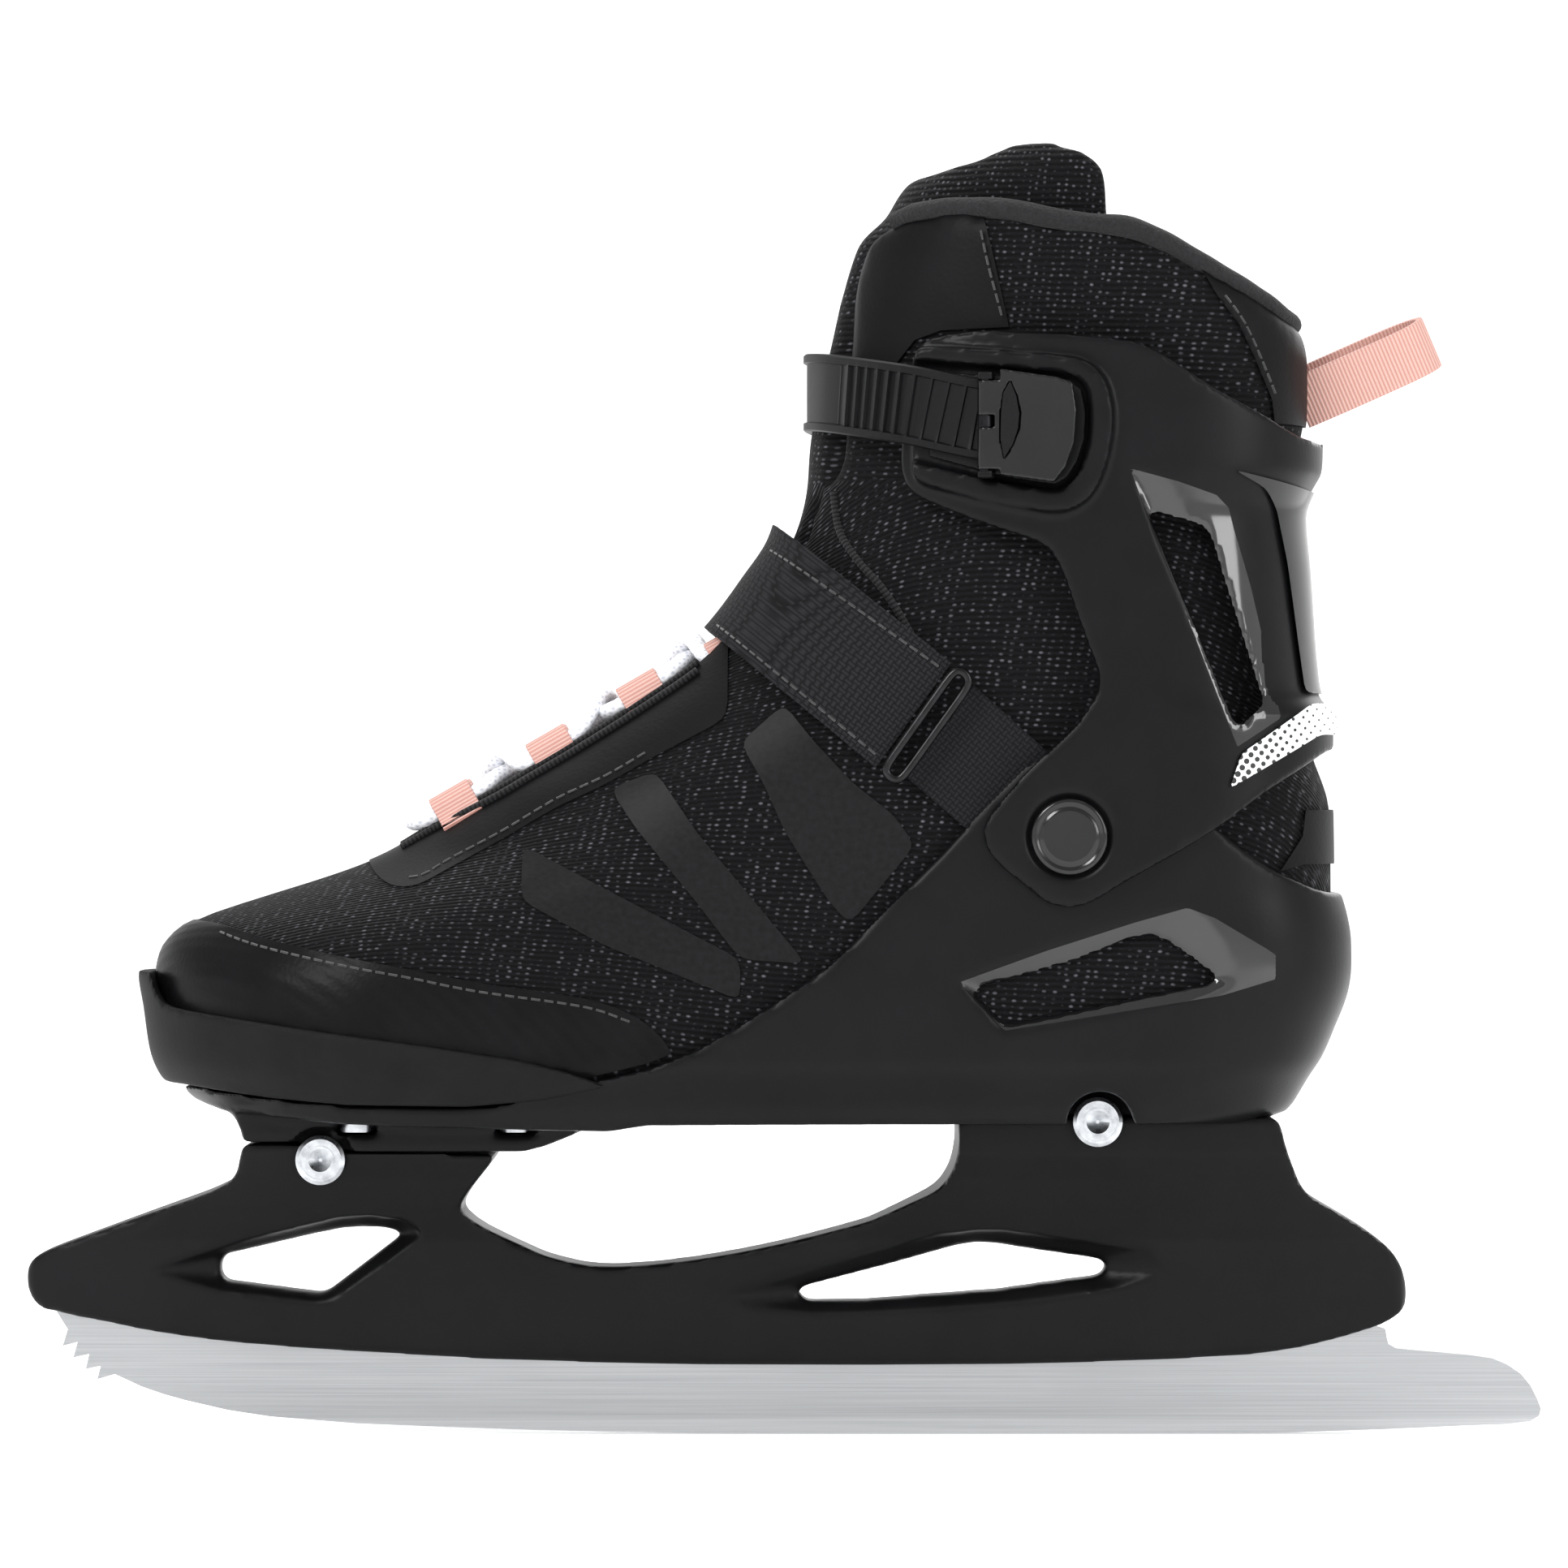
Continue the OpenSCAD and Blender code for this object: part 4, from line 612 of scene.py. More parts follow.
def polish(made, lip, y_min):
    """Mark how far inside a window's lip each vertex lies, in millimetres, for its gloss."""
    mark = made.verts.layers.float.new("bevel")
    edges = [(Vector(a), Vector(b)) for a, b in zip(lip, lip[1:] + lip[:1])]
    for vert in made.verts:
        p = Vector((vert.co.x, vert.co.z))
        reach = min((p - a - (b - a) * min(1, max(0, (p - a).dot(b - a) / (b - a).length_squared)))
                    .length for a, b in edges)
        within = abs(vert.co.y) > y_min and inside(lip, p.x, p.y)
        vert[mark] = reach if within else -reach


sole = joined(prism(sole_profile), [boot_form(66, 96, shell_out)], "INTERSECT")
wings = joined(prism(eased(shell_side, 1.5)), [arc_wall(74, 164, shell_in, shell_out,
                                                       shell_back_line, 0, -66)], "INTERSECT")
foot_block = joined(prism(pedestal, -25, 25), [turned(both_sides([
    (-134, -16), (-126, -25), (-48, -25), (-44, -18)]), 0, 200)], "INTERSECT")
lug_blocks = [prism([(-121, 54), (-93, 54), (-93, 78), (-121, 78)], -11, 11),
              prism([(58, 60), (87, 60), (87, 84), (58, 84)], -11, 11)]
shell = joined(sole, [wings, foot_block] + lug_blocks, "UNION")
cuts = [prism(eased(shell_window, 1.2))]
cuts += tapered(shell_lip, shell_window, ankle + shell_out - 0.4, ankle + shell_in + 1.3)
cuts += [prism(webbing_patch, -ankle - 2.1, -ankle), prism(webbing_patch, ankle, ankle + 2.1)]
for x, z in bolts:
    cuts += [cylinder(9.1, -60, 60, x, z), cylinder(15.4, -60, -21.2, x, z),
             cylinder(15.4, 21.2, 60, x, z)]
cuts += [cylinder(12, -49, -33, 65, 140), cylinder(12, 33, 49, 65, 140)]
for x, z in ((50, 145), (57.4, 151.9)):
    cuts += [cylinder(3, -49, -36, x, z), cylinder(3, 36, 49, x, z)]
# Screw pockets open to the sides of the pedestal; under the heel they are round counterbores.
for x, y, z in ((-98.5, 19, 71.6), (-62, 19, 71.6)):
    for s in (-1, 1):
        a, b = sorted((s * (y - 5.1), s * 30))
        cuts.append(prism([(x - 5.1, z - 0.4), (x + 5.1, z - 0.4), (x + 5.1, z + 2.2),
                           (x - 5.1, z + 2.2)], a, b))
        cuts.append(turned([(x + 2.25 * math.cos(t), s * y + 2.25 * math.sin(t))
                            for t in (math.tau * k / 24 for k in range(24))], 60, 120))
for x, y, z in ((50, 18, 75.6), (100, 16, 75.6)):
    for s in (-1, 1):
        for r, top in ((5, z + 2.2), (2.25, 120)):
            cuts.append(turned([(x + r * math.cos(t), s * y + r * math.sin(t))
                                for t in (math.tau * k / 32 for k in range(32))], 60, top))
shell = remeshed(joined(shell, cuts), 0.95, 5)
polish(shell, shell_lip, ankle - 1)
piece(shell, "shell_moulding", "boot", shell_plastic, "shell_plastic", "shell")

# ---- Cuff --------------------------------------------------------------------
# The ankle cuff, moulded in one piece and hung on two pivot bolts. It wraps the heel and carries
# the buckle on a raised boss in front; a polished bevel runs round the slot in each side.

cuff_plastic = moulded("moulded_polyamide", "#0a0a0b", 0.34, 0.8, 0.03)
cuff_back_line = [(120, 129), (160, 128.2), (168, 128.2), (172, 125), (176, 124), (202, 122),
                  (214, 121), (220, 123), (225, 125.6), (232, 125.8), (260, 124)]
cuff_side = [(45.5, 143), (45.5, 140), (46.4, 136.7), (50, 132.7), (55.3, 128.7), (60, 124.7),
             (65, 123.7), (69.7, 124.7), (76, 128.7), (80, 131), (89.7, 136.3), (98.9, 141.9),
             (109.7, 150), (120.2, 156.4), (126, 160), (140, 161), (140, 232), (121.6, 231),
             (116.7, 232.6), (107.7, 237.6), (98.7, 242), (85.3, 250.6), (80.8, 252.6),
             (74.5, 253.7), (62.8, 254.6), (50.3, 255.2), (42.2, 255.3), (35.9, 254.4),
             (32.3, 253.3), (30.1, 251), (28.6, 246), (26.8, 228.1), (26.9, 224.1),
             (27.8, 220.5), (30.1, 217.8), (35.9, 215.1), (44.9, 211.5), (57.5, 207.5),
             (61, 205.2), (63.7, 199.9), (66.4, 191.8), (69.6, 182.8), (71.8, 177.4),
             (71.8, 173.8), (70, 170.2), (66.4, 165), (60, 159.2), (55.3, 154.8), (50.4, 149.2)]
cuff_window = [(83, 214.4), (96.5, 210.6), (98.3, 205.2), (109.7, 170.2), (103.2, 164.8)]
cuff_lip = [(78.6, 224), (89.8, 221), (98.7, 218), (101.6, 215.1), (103, 209.7), (106.8, 197.2),
            (110.3, 182.8), (113.8, 167.1), (103.4, 160.4)]
buckle_recess = [(20, 249.6), (65.5, 245.2), (68.7, 242.9), (69.8, 237.6), (69.6, 230.4),
                 (67.8, 224.1), (65.1, 220), (61.9, 218.7), (50.3, 220.5), (20, 227.6)]
buckle_boss = [(29, 252), (40, 251.4), (68, 249), (73, 245), (75, 238), (74.6, 229), (72, 220),
               (67.5, 215), (62, 213.6), (46, 216.4), (29, 221)]
cuff_in, cuff_out = 4.2, 7.4
cap_floor = ankle + cuff_out - 1.5


def on_wing(made, side=1):
    """Set a piece of the buckle, drawn with y = 0 on the cuff, on the wing of one side."""
    turn = Matrix.Rotation(math.radians(-6), 4, "Z")
    place = Matrix.Translation((56, -ankle - cuff_out, 0)) @ turn @ Matrix.Translation((-56, 0, 0))
    bmesh.ops.transform(made, matrix=place, verts=made.verts)
    if side < 0:
        bmesh.ops.scale(made, vec=(1, -1, 1), verts=made.verts)
        bmesh.ops.reverse_faces(made, faces=made.faces)
    return made


outline = eased(cuff_side, 1.5)
cuff = joined(prism(outline), [arc_wall(120, 258, cuff_in, cuff_out, cuff_back_line, 0, 24)],
              "INTERSECT")
for side in (1, -1):
    boss = joined(on_wing(prism(eased(buckle_boss), -2, 6), side), [prism(outline)], "INTERSECT")
    cuff = joined(cuff, [boss], "UNION")
cuts = [boot_form(205, 258, cuff_in), prism(eased(cuff_window, 1.2))]
cuts += tapered(cuff_lip, cuff_window, ankle + cuff_out - 0.4, ankle + cuff_in + 1.3)
cuts += [on_wing(prism(eased(buckle_recess, 1.5), -30, 0.6), side) for side in (1, -1)]
cuts += [cylinder(12, -60, -ankle, 65, 140), cylinder(12, ankle, 60, 65, 140),
         cylinder(19.6, -60, -cap_floor, 65, 140), cylinder(19.6, cap_floor, 60, 65, 140),
         cylinder(7, 20, 80, 50, 234)]
for z in (226, 239.5):
    cuts += [cylinder(3, -60, -30, 60, z), cylinder(3, 30, 60, 60, z)]
cuff = remeshed(joined(cuff, cuts), 0.8, 5)
polish(cuff, cuff_lip, ankle - 1)
piece(cuff, "cuff_moulding", "cuff_body", cuff_plastic, "cuff_plastic", "cuff")

# ---- Insole board and footbed ------------------------------------------------
# The lasting board is pressed fibre; the footbed is die-cut foam faced with brushed knit.

board, tree, surface, at = finish("pressed_fibre_board", Roughness=0.8)
fibre = add(tree, "TexNoise", {"Vector": at, "Scale": 900.0, "Detail": 4.0}).outputs["Fac"]
tree.links.new(ramp(tree, fibre, [(0.3, srgb("#2c2c2e")), (0.7, srgb("#48484a"))]),
               surface.inputs["Base Color"])
relief(tree, surface, fibre, 0.08)
dress("lasting_board", board)

foam, tree, surface, at = finish("brushed_knit_foam", Roughness=0.95)
nap = add(tree, "TexNoise", {"Vector": at, "Scale": 1600.0, "Detail": 3.0}).outputs["Fac"]
tree.links.new(ramp(tree, nap, [(0.3, srgb("#1d1d20")), (0.7, srgb("#36363a"))]),
               surface.inputs["Base Color"])
relief(tree, surface, nap, 0.2)
dress("footbed", foam)

# ---- Toe bumper --------------------------------------------------------------
# Compression-moulded rubber rand, cemented over the toe overlay and rounded along its top edge.

rubber, tree, surface, at = finish("moulded_rubber", Roughness=0.62, IOR=1.52,
                                       Specular_IOR_Level=0.14)
chalk = add(tree, "TexNoise", {"Vector": at, "Scale": 60.0, "Detail": 6.0}).outputs["Fac"]
grit = add(tree, "TexNoise", {"Vector": at, "Scale": 1500.0, "Detail": 2.0}).outputs["Fac"]
tree.links.new(ramp(tree, chalk, [(0.35, srgb("#0b0b0c")), (0.75, srgb("#141415"))]),
               surface.inputs["Base Color"])
relief(tree, surface, grit, 0.05)
bumper_top = [(-43.3, 84.4), (-50, 86.7), (-60, 89.2), (-80, 92.3), (-100, 95), (-120, 97.7),
              (-140, 100.3), (-143.3, 101.3), (-145.4, 104.2), (-146.8, 108.5), (-160, 108.5)]
bumper = joined(boot_skin(78, 110, 0.8, 4.8, 1.2),
                [prism([p for p in sole_top if p[0] < -41] + [(-40.5, 83)] + bumper_top)],
                "INTERSECT")
piece(remeshed(bumper, 0.7, 6), "toe_rand", "boot", rubber, "bumper_rubber", "toe_bumper")

# ---- Padded upper and collar -------------------------------------------------
# Air-mesh knit over foam, lasted to the board: toe, quarters and collar are one padded bag.
# The foam above the cuff stands proud between its seams.

knit, tree, surface, at = finish("polyester_air_mesh", Roughness=0.8, Sheen_Weight=0.05,
                                 Sheen_Roughness=0.4, Specular_IOR_Level=0.1)


def maths(tree, operation, a, b=0.0):
    return add(tree, "Math", {0: a, 1: b}, operation=operation).outputs[0]


def knit_map(tree, at):
    """Position on the cloth: along the foot and up its side, then round the leg above it."""
    x, y, z = add(tree, "SeparateXYZ", {"Vector": at}).outputs
    up = maths(tree, "SUBTRACT", z, maths(tree, "ABSOLUTE", y))
    turn = maths(tree, "ARCTAN2", y, maths(tree, "SUBTRACT", x, 0.065))
    round_leg = maths(tree, "MULTIPLY", turn, 0.045)
    foot = add(tree, "CombineXYZ", {"X": x, "Y": up}).outputs[0]
    leg = add(tree, "CombineXYZ", {"X": round_leg, "Y": z}).outputs[0]
    high = maths(tree, "GREATER_THAN", z, 0.222)
    return add(tree, "Mix", {"Factor": high, 4: foot, 5: leg}, data_type="VECTOR").outputs[1]


# Painted highlight: pale grey glints painted at each loop of the black knit, where the filament
# catches light, in rows 1.4 mm apart with loops 2.2 mm apart along them; loops are glossier too.
cloth = knit_map(tree, at)
wale = add(tree, "Mapping", {"Vector": cloth, "Rotation": (0, 0, 0.12), "Scale": (455, 714, 455)})
loops = add(tree, "TexVoronoi", {"Vector": wale.outputs[0], "Scale": 1.0, "Randomness": 0.3})
course = add(tree, "TexWave", {"Vector": cloth, "Scale": bands(1.4), "Distortion": 1.2,
                               "Detail": 1.0, "Detail Scale": 4.0}, bands_direction="Y")
painted_glint = add(tree, "MapRange", {"Value": loops.outputs["Distance"], "From Min": 0.1,
                               "From Max": 0.3, "To Min": 1.0, "To Max": 0.0}).outputs[0]
stray = add(tree, "TexNoise", {"Vector": at, "Scale": 420.0, "Detail": 2.0}).outputs["Fac"]
painted_glint = maths(tree, "MULTIPLY", painted_glint, add(tree, "MapRange", {
    "Value": stray, "From Min": 0.35, "From Max": 0.65}).outputs[0])
ground = ramp(tree, course.outputs["Fac"], [(0.2, srgb("#050506")), (0.8, srgb("#0e0e10"))])
# Painted highlight: the grey #58585e covers the black ground only where the loop glints are
# painted.
tree.links.new(add(tree, "Mix", {"Factor": painted_glint, 6: ground, 7: srgb("#58585e")},
                   data_type="RGBA").outputs[2], surface.inputs["Base Color"])
tree.links.new(add(tree, "MapRange", {"Value": painted_glint, "To Min": 0.78, "To Max": 0.35}).outputs[0],
               surface.inputs["Roughness"])
relief(tree, surface, maths(tree, "ADD", painted_glint, course.outputs["Fac"]), 0.28, 0.8)

collar_edge = [(13.4, 222), (14.4, 236), (16.4, 251), (17.4, 265), (18.9, 272), (21, 277.6)]
collar_top = [(25.8, 280.4), (30.8, 282.4), (39.8, 283.2), (49.7, 282.6), (59.6, 280.6),
              (69.6, 279), (77.5, 278.4), (85.5, 275.6), (99.4, 268), (109.3, 262.6),
              (119, 257.4)]
below_sole = [(-170, 60)] + [(x, z + 0.15) for x, z in sole_top] + [(170, 60)]


def throat(inset, z1=225):
    """Slot over the instep that the tongue fills."""
    return turned(both_sides([(-88 + inset, 0.01), (-85 + inset, 7 - inset),
                              (-60 + inset, 11 - inset), (40, 13 - inset)]), 95, z1)


def filled(made, pressure, cap, held):
    """Foam filling by cloth simulation: held vertices stay, others move no more than cap."""
    bmesh.ops.scale(made, vec=(MM, MM, MM), verts=made.verts)
    obj = scratch(made, "filling")
    rest = [v.co.copy() for v in obj.data.vertices]
    pins = obj.vertex_groups.new(name="pins")
    for i, co in enumerate(rest):
        pins.add([i], held(co / MM), "REPLACE")
    cloth = obj.modifiers.new("filling", "CLOTH")
    cloth.settings.quality = 5
    cloth.settings.use_pressure = True
    cloth.settings.uniform_pressure_force = pressure
    cloth.settings.tension_stiffness = cloth.settings.compression_stiffness = 12
    cloth.settings.bending_stiffness = 0.6
    cloth.settings.vertex_group_mass = "pins"
    cloth.settings.effector_weights.gravity = 0
    cloth.collision_settings.use_collision = False
    cloth.point_cache.frame_start, cloth.point_cache.frame_end = 1, 20
    for step in range(1, 21):
        bpy.context.scene.frame_set(step)
    swollen = applied(obj)
    bpy.context.scene.frame_set(1)
    swollen.verts.ensure_lookup_table()
    for i, co in enumerate(rest):
        move = swollen.verts[i].co - co
        if move.length > cap * MM:
            swollen.verts[i].co = co + move.normalized() * cap * MM
    bmesh.ops.smooth_vert(swollen, verts=swollen.verts, factor=0.5, use_axis_x=True,
                          use_axis_y=True, use_axis_z=True)
    bmesh.ops.scale(swollen, vec=(1 / MM, 1 / MM, 1 / MM), verts=swollen.verts)
    return swollen


def subdivided(made):
    obj = scratch(made)
    fine = obj.modifiers.new("fine", "SUBSURF")
    fine.levels = fine.render_levels = 1
    return applied(obj)


bag = [(-170, 60), (-170, 221.5), (10, 221.5)] + collar_edge + collar_top + [(130, 252), (130, 60)]
foot_space = boot_form(68, 297, -5, 2.0, 80)
bmesh.ops.translate(foot_space, vec=(0, 0, -4), verts=foot_space.verts)
liner = joined(boot_form(76.5, 287, 0, 2.0, 80), [prism(bag)], "INTERSECT")
liner = remeshed(joined(liner, [foot_space, prism(below_sole), throat(0)]), 2.3, 3)
# Held under the cuff and along the rim, where the binding is sewn.
liner = filled(liner, 4, 1.6, lambda p: 1.0 if p.z < 236 or (p.x > 28 and p.z < 256)
               or p.z > lookup(collar_top, p.x) - 3.5 else 0.0)
liner = subdivided(liner)
swollen = liner.copy()
liner = piece(liner, "padded_upper", None, knit, "knit_mesh", "upper", "collar", sharp=80)
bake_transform(liner)

# ---- Tongue ------------------------------------------------------------------
# Air-mesh over thick foam, sewn at the toe end and free above: it fills the throat, passes under
# the laces and flares over the shin.


def front_steps(z0, z1, step):
    """Heights whose points on the front line are step apart."""
    out, z = [z0], z0
    while z < z1:
        slope = (lookup(front_line, z + 0.2) - lookup(front_line, z)) / 0.2
        z += step / math.hypot(1, slope)
        out.append(min(z, z1))
    return out


tongue_reach = [(112, 18), (205, 18), (222, 36), (240, 55), (262, 63), (301, 62)]
levels = []
for z in front_steps(129, 300.3, 2.2):
    arcs = []
    for inner in (False, True):
        arc = []
        for i in range(-36, 37):
            s = i / 36
            xf = lookup(front_line, z)
            x = xf + lookup(tongue_reach, z) * s * s
            y = abs(skin_y(x, z, 0))
            under = ease((y - 9.5) / 3) if z < 218 else ease((x - lookup(
                [(b, a) for a, b in collar_edge], z) + 4) / 3)
            under = max(under, 1 - ease((z - 138) / 5))
            off = -1.0 - 4.4 * under + (0.6 * ease((z - 222) / 6)) - (6 if inner else 0)
            x -= off * (1 - abs(s)) * (1 if z > 190 else 0.8)
            arc.append((x, math.copysign(skin_y(x, z, off), s), z))
        arcs.append(arc)
    levels.append(arcs[0] + arcs[1][::-1])
tongue_top = [(-170, 90), (-170, 290.4), (21.7, 291.1), (26.8, 293.1), (32.8, 293.6),
              (39.8, 294.9), (45.7, 296.6), (52.7, 299.5), (57.7, 300.2), (61.6, 300),
              (67.6, 297.8),
              (72.6, 294.6), (74.4, 290.1), (74.6, 282.1), (76, 262), (76, 90)]
tongue = joined(remeshed(lofted(levels), 1.6, 3), [prism(tongue_top)], "INTERSECT")
tongue = remeshed(tongue, 2.2, 3)
tongue = filled(tongue, 4, 1.4, lambda p: 1.0 if p.z < 226 or p.x > 44 else 0.0)
tongue = subdivided(tongue)
tongue = piece(tongue, "padded_tongue", None, knit, "knit_mesh", "tongue_lower", "tongue_upper",
               sharp=80)
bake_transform(tongue)

# ---- Toe overlay, eyestay and heel patch -------------------------------------
# Polyurethane-faced synthetic leather, 0.8 mm, cut and sewn over the mesh: a fine pebble grain
# with faint diagonal embossed lines on the toe, and bar-tacked edges.


def leather(name, colour, rough, emboss):
    """Synthetic leather: pebbled film with soft pale creases; emboss is the pitch of its lines."""
    material, tree, surface, at = finish(name, Roughness=rough, IOR=1.48, Specular_IOR_Level=0.1)
    pebble = add(tree, "TexVoronoi", {"Vector": at, "Scale": 1100.0}, feature="SMOOTH_F1")
    crease = add(tree, "TexNoise", {"Vector": at, "Scale": 70.0, "Detail": 5.0}).outputs["Fac"]
    tree.links.new(ramp(tree, crease, [(0.35, srgb(colour)), (0.75, srgb("#101012"))]),
                   surface.inputs["Base Color"])
    grain = relief(tree, surface, pebble.outputs["Distance"], 0.07, 0.6)
    if emboss:
        lines = add(tree, "TexWave", {"Vector": at, "Scale": bands(emboss)},
                    bands_direction="DIAGONAL")
        relief(tree, surface, lines.outputs["Fac"], 0.12, 0.5, grain)
    return material


def cut_skin(z0, z1, off_in, off_out, outline, cuts=(), step=1.6):
    """A layer of the boot's skin cut to a side outline."""
    layer = joined(boot_skin(z0, z1, off_in, off_out, step), [prism(outline)], "INTERSECT")
    return joined(layer, cuts) if cuts else layer


toe_leather = leather("embossed_synthetic_leather", "#0a0a0b", 0.38, 2.6)
toe_outline = [(-170, 120.6), (-131.3, 120.2), (-120, 116.8), (-100, 112.5), (-85, 109.8),
               (-70, 106.8), (-45, 103.3), (-35, 100), (-27, 94), (-24, 86), (-24, 70), (-170, 70)]
behind_shell = [(-60, 60)] + [(x - 1, z + 1) for x, z in shell_side if x < 40] + [(60, 60)]
overlay = cut_skin(77, 124, -0.4, 0.8, eased(toe_outline, 3), [prism(below_sole),
                                                              prism(behind_shell)])
piece(overlay, "toe_overlay_leather", "boot", toe_leather, "synthetic_leather", "toe_overlay")

soft_leather = leather("synthetic_leather", "#0b0b0c", 0.46, 0)
eye_outline = [(-97, 134.4), (-94, 130.9), (-90, 128.6), (-85.8, 128.5), (-82.5, 129.6),
               (-76.7, 132.9), (-65, 139.3), (-52.5, 146.7), (-40.8, 152.1), (-30, 158.3),
               (-13, 167.2), (-13, 190), (-60, 190), (-110, 150)]
stay = cut_skin(119.3, 199.1, -0.4, 0.8, eased(eye_outline, 2), [throat(0.08)], 1.2)
piece(stay, "eyestay_leather", "boot", soft_leather, "synthetic_leather", "eyestay")
heel = cut_skin(124, 150, -0.4, 0.8, [(114, 132), (119.4, 139.9), (120.2, 146), (140, 146),
                                      (140, 133.5), (120, 133.5)])
piece(heel, "heel_patch_leather", "boot", soft_leather, "synthetic_leather", "heel_patch")

# ---- Film stripes ------------------------------------------------------------
# Thermoplastic film, welded to the mesh by heat: three slanting generic bars on each quarter that
# brace the arch. Smooth and satin, with the knit faintly read through it.

film, tree, surface, at = finish("welded_tpu_film", Roughness=0.46, IOR=1.5,
                                     Specular_IOR_Level=0.15)
read = knit_map(tree, at)
print_through = add(tree, "TexNoise", {"Vector": read, "Scale": 700.0,
                                       "Detail": 2.0}).outputs["Fac"]
tree.links.new(ramp(tree, print_through, [(0.3, srgb("#0b0b0c")), (0.7, srgb("#141416"))]),
               surface.inputs["Base Color"])
relief(tree, surface, print_through, 0.06, 0.6)
stripes = [
    [(-60, 138), (-10, 112), (-10, 102.6), (-41.5, 115.5), (-60, 125.5)],
    [(-40, 151), (-34, 142), (-20, 125), (-10, 112), (5, 111), (-10, 129), (-20, 141),
     (-29.5, 155)],
    [(-10, 161.5), (-4.6, 152), (0, 141.5), (10, 125.5), (15, 120), (30, 138), (25, 145),
     (16, 152), (6.6, 162), (0, 170.4)]]
for k, stripe in enumerate(stripes):
    layer = cut_skin(98, 176, -0.4, 0.45, eased(stripe, 1.5), [prism(behind_shell)], 2.0)
    piece(layer, "film_stripe_%d" % (k + 1), "boot", film, "coated_film")

# ---- Throat binding, piping and stitching ------------------------------------
# Ribbed elastic tape folded over both edges of the throat, a fine piping cord on the quarter, and
# polyester thread, 0.55 mm thick, in stitches 3 mm apart.


def swept(path, section, closed=False, up=(0, 0, 1)):
    """A section of (across, out) points carried along a path; its UV is in millimetres."""
    rings, run, lengths, last = [], 0.0, [], None
    n = len(path)
    for i, p in enumerate(path):
        p = Vector(p)
        a = Vector(path[(i + 1) % n if closed else min(n - 1, i + 1)])
        b = Vector(path[(i - 1) % n if closed else max(0, i - 1)])
        t = (a - b).normalized()
        out = Vector(up(p) if callable(up) else up)
        side = t.cross(out).normalized()
        out = side.cross(t).normalized()
        shape = section(run) if callable(section) else section
        rings.append([tuple(p + side * u + out * v) for u, v in shape])
        if last is not None:
            run += (p - last).length
        last = p
        lengths.append(run)
    if closed:
        rings.append(rings[0])
    return mapped_loft(rings, lengths)


def mapped_loft(rings, lengths):
    """Loft with a UV map: across the section, and along the path, both in metres."""
    made = bmesh.new()
    cols = len(rings[0]) + 1
    made.loops.layers.uv.new("UVMap")
    bmesh.ops.create_grid(made, x_segments=cols - 1, y_segments=len(rings) - 1, size=1,
                          calc_uvs=True)
    made.verts.ensure_lookup_table()
    around = [0.0]
    ring = [Vector(p) for p in rings[len(rings) // 2]]
    for i in range(cols - 1):
        around.append(around[-1] + (ring[(i + 1) % (cols - 1)] - ring[i]).length)
    layer = made.loops.layers.uv.active
    lengths = lengths + [lengths[-1] + (Vector(rings[-1][0]) - Vector(rings[-2][0])).length]
    for face in made.faces:
        for corner in face.loops:
            row, col = divmod(corner.vert.index, cols)
            corner[layer].uv = (around[col] * MM, lengths[row] * MM)
    for i, vert in enumerate(made.verts):
        vert.co = rings[i // cols][(i % cols) % (cols - 1)]
    bmesh.ops.remove_doubles(made, verts=made.verts, dist=1e-4)
    bmesh.ops.holes_fill(made, edges=[e for e in made.edges if e.is_boundary], sides=0)
    bmesh.ops.recalc_face_normals(made, faces=made.faces)
    return made


def oval(w, h, sides=16):
    return [(w / 2 * math.cos(math.tau * k / sides), h / 2 * math.sin(math.tau * k / sides))
            for k in range(sides)]


def spline(points, per=6):
    """Smooth path through points."""
    out, n = [], len(points)
    for k in range(n - 1):
        a, b, c, d = (Vector(points[j]) for j in (max(0, k - 1), k, k + 1, min(n - 1, k + 2)))
        for i in range(per):
            t = i / per
            out.append((2 * b + (c - a) * t + (2 * a - 5 * b + 4 * c - d) * t * t
                        + (3 * b - a - 3 * c + d) * t ** 3) / 2)
    return out + [Vector(points[-1])]


def on_skin(points, off, side):
    """A side line laid on the boot's skin, on one side."""
    flat = spline([(x, 0, z) for x, z in points], 8)
    return [Vector((p.x, side * skin_y(p.x, p.z, off), p.z)) for p in flat]


def merged(parts):
    """Several bmeshes as one."""
    whole = bmesh.new()
    whole.loops.layers.uv.new("UVMap")
    for part in parts:
        mesh = bpy.data.meshes.new("part")
        part.to_mesh(mesh)
        part.free()
        whole.from_mesh(mesh)
        bpy.data.meshes.remove(mesh)
    return whole


def ribbed(name, colour, pale, pitch, depth, rough=0.8, angle=0.0, second=0.0):
    """Woven tape: ribs across its length at a pitch in millimetres, and threads along it."""
    material, tree, surface, at = finish(name, Roughness=rough, Sheen_Weight=0.08,
                                         Specular_IOR_Level=0.15)
    uv = add(tree, "UVMap").outputs["UV"]
    place = add(tree, "Mapping", {"Vector": uv, "Rotation": (0, 0, angle)}).outputs[0]
    ribs = add(tree, "TexWave", {"Vector": place, "Scale": bands(pitch)}, bands_direction="Y")
    along = add(tree, "TexWave", {"Vector": place, "Scale": bands(second or pitch)},
                bands_direction="X")
    weave = maths(tree, "MULTIPLY", ribs.outputs["Fac"], along.outputs["Fac"]) if second \
        else ribs.outputs["Fac"]
    fuzz = add(tree, "TexNoise", {"Vector": at, "Scale": 2400.0, "Detail": 2.0}).outputs["Fac"]
    tone = maths(tree, "MULTIPLY", weave, maths(tree, "ADD", fuzz, 0.4))
    tree.links.new(ramp(tree, tone, [(0.1, srgb(colour)), (0.7, srgb(pale))]),
                   surface.inputs["Base Color"])
    relief(tree, surface, tone, depth)
    return material


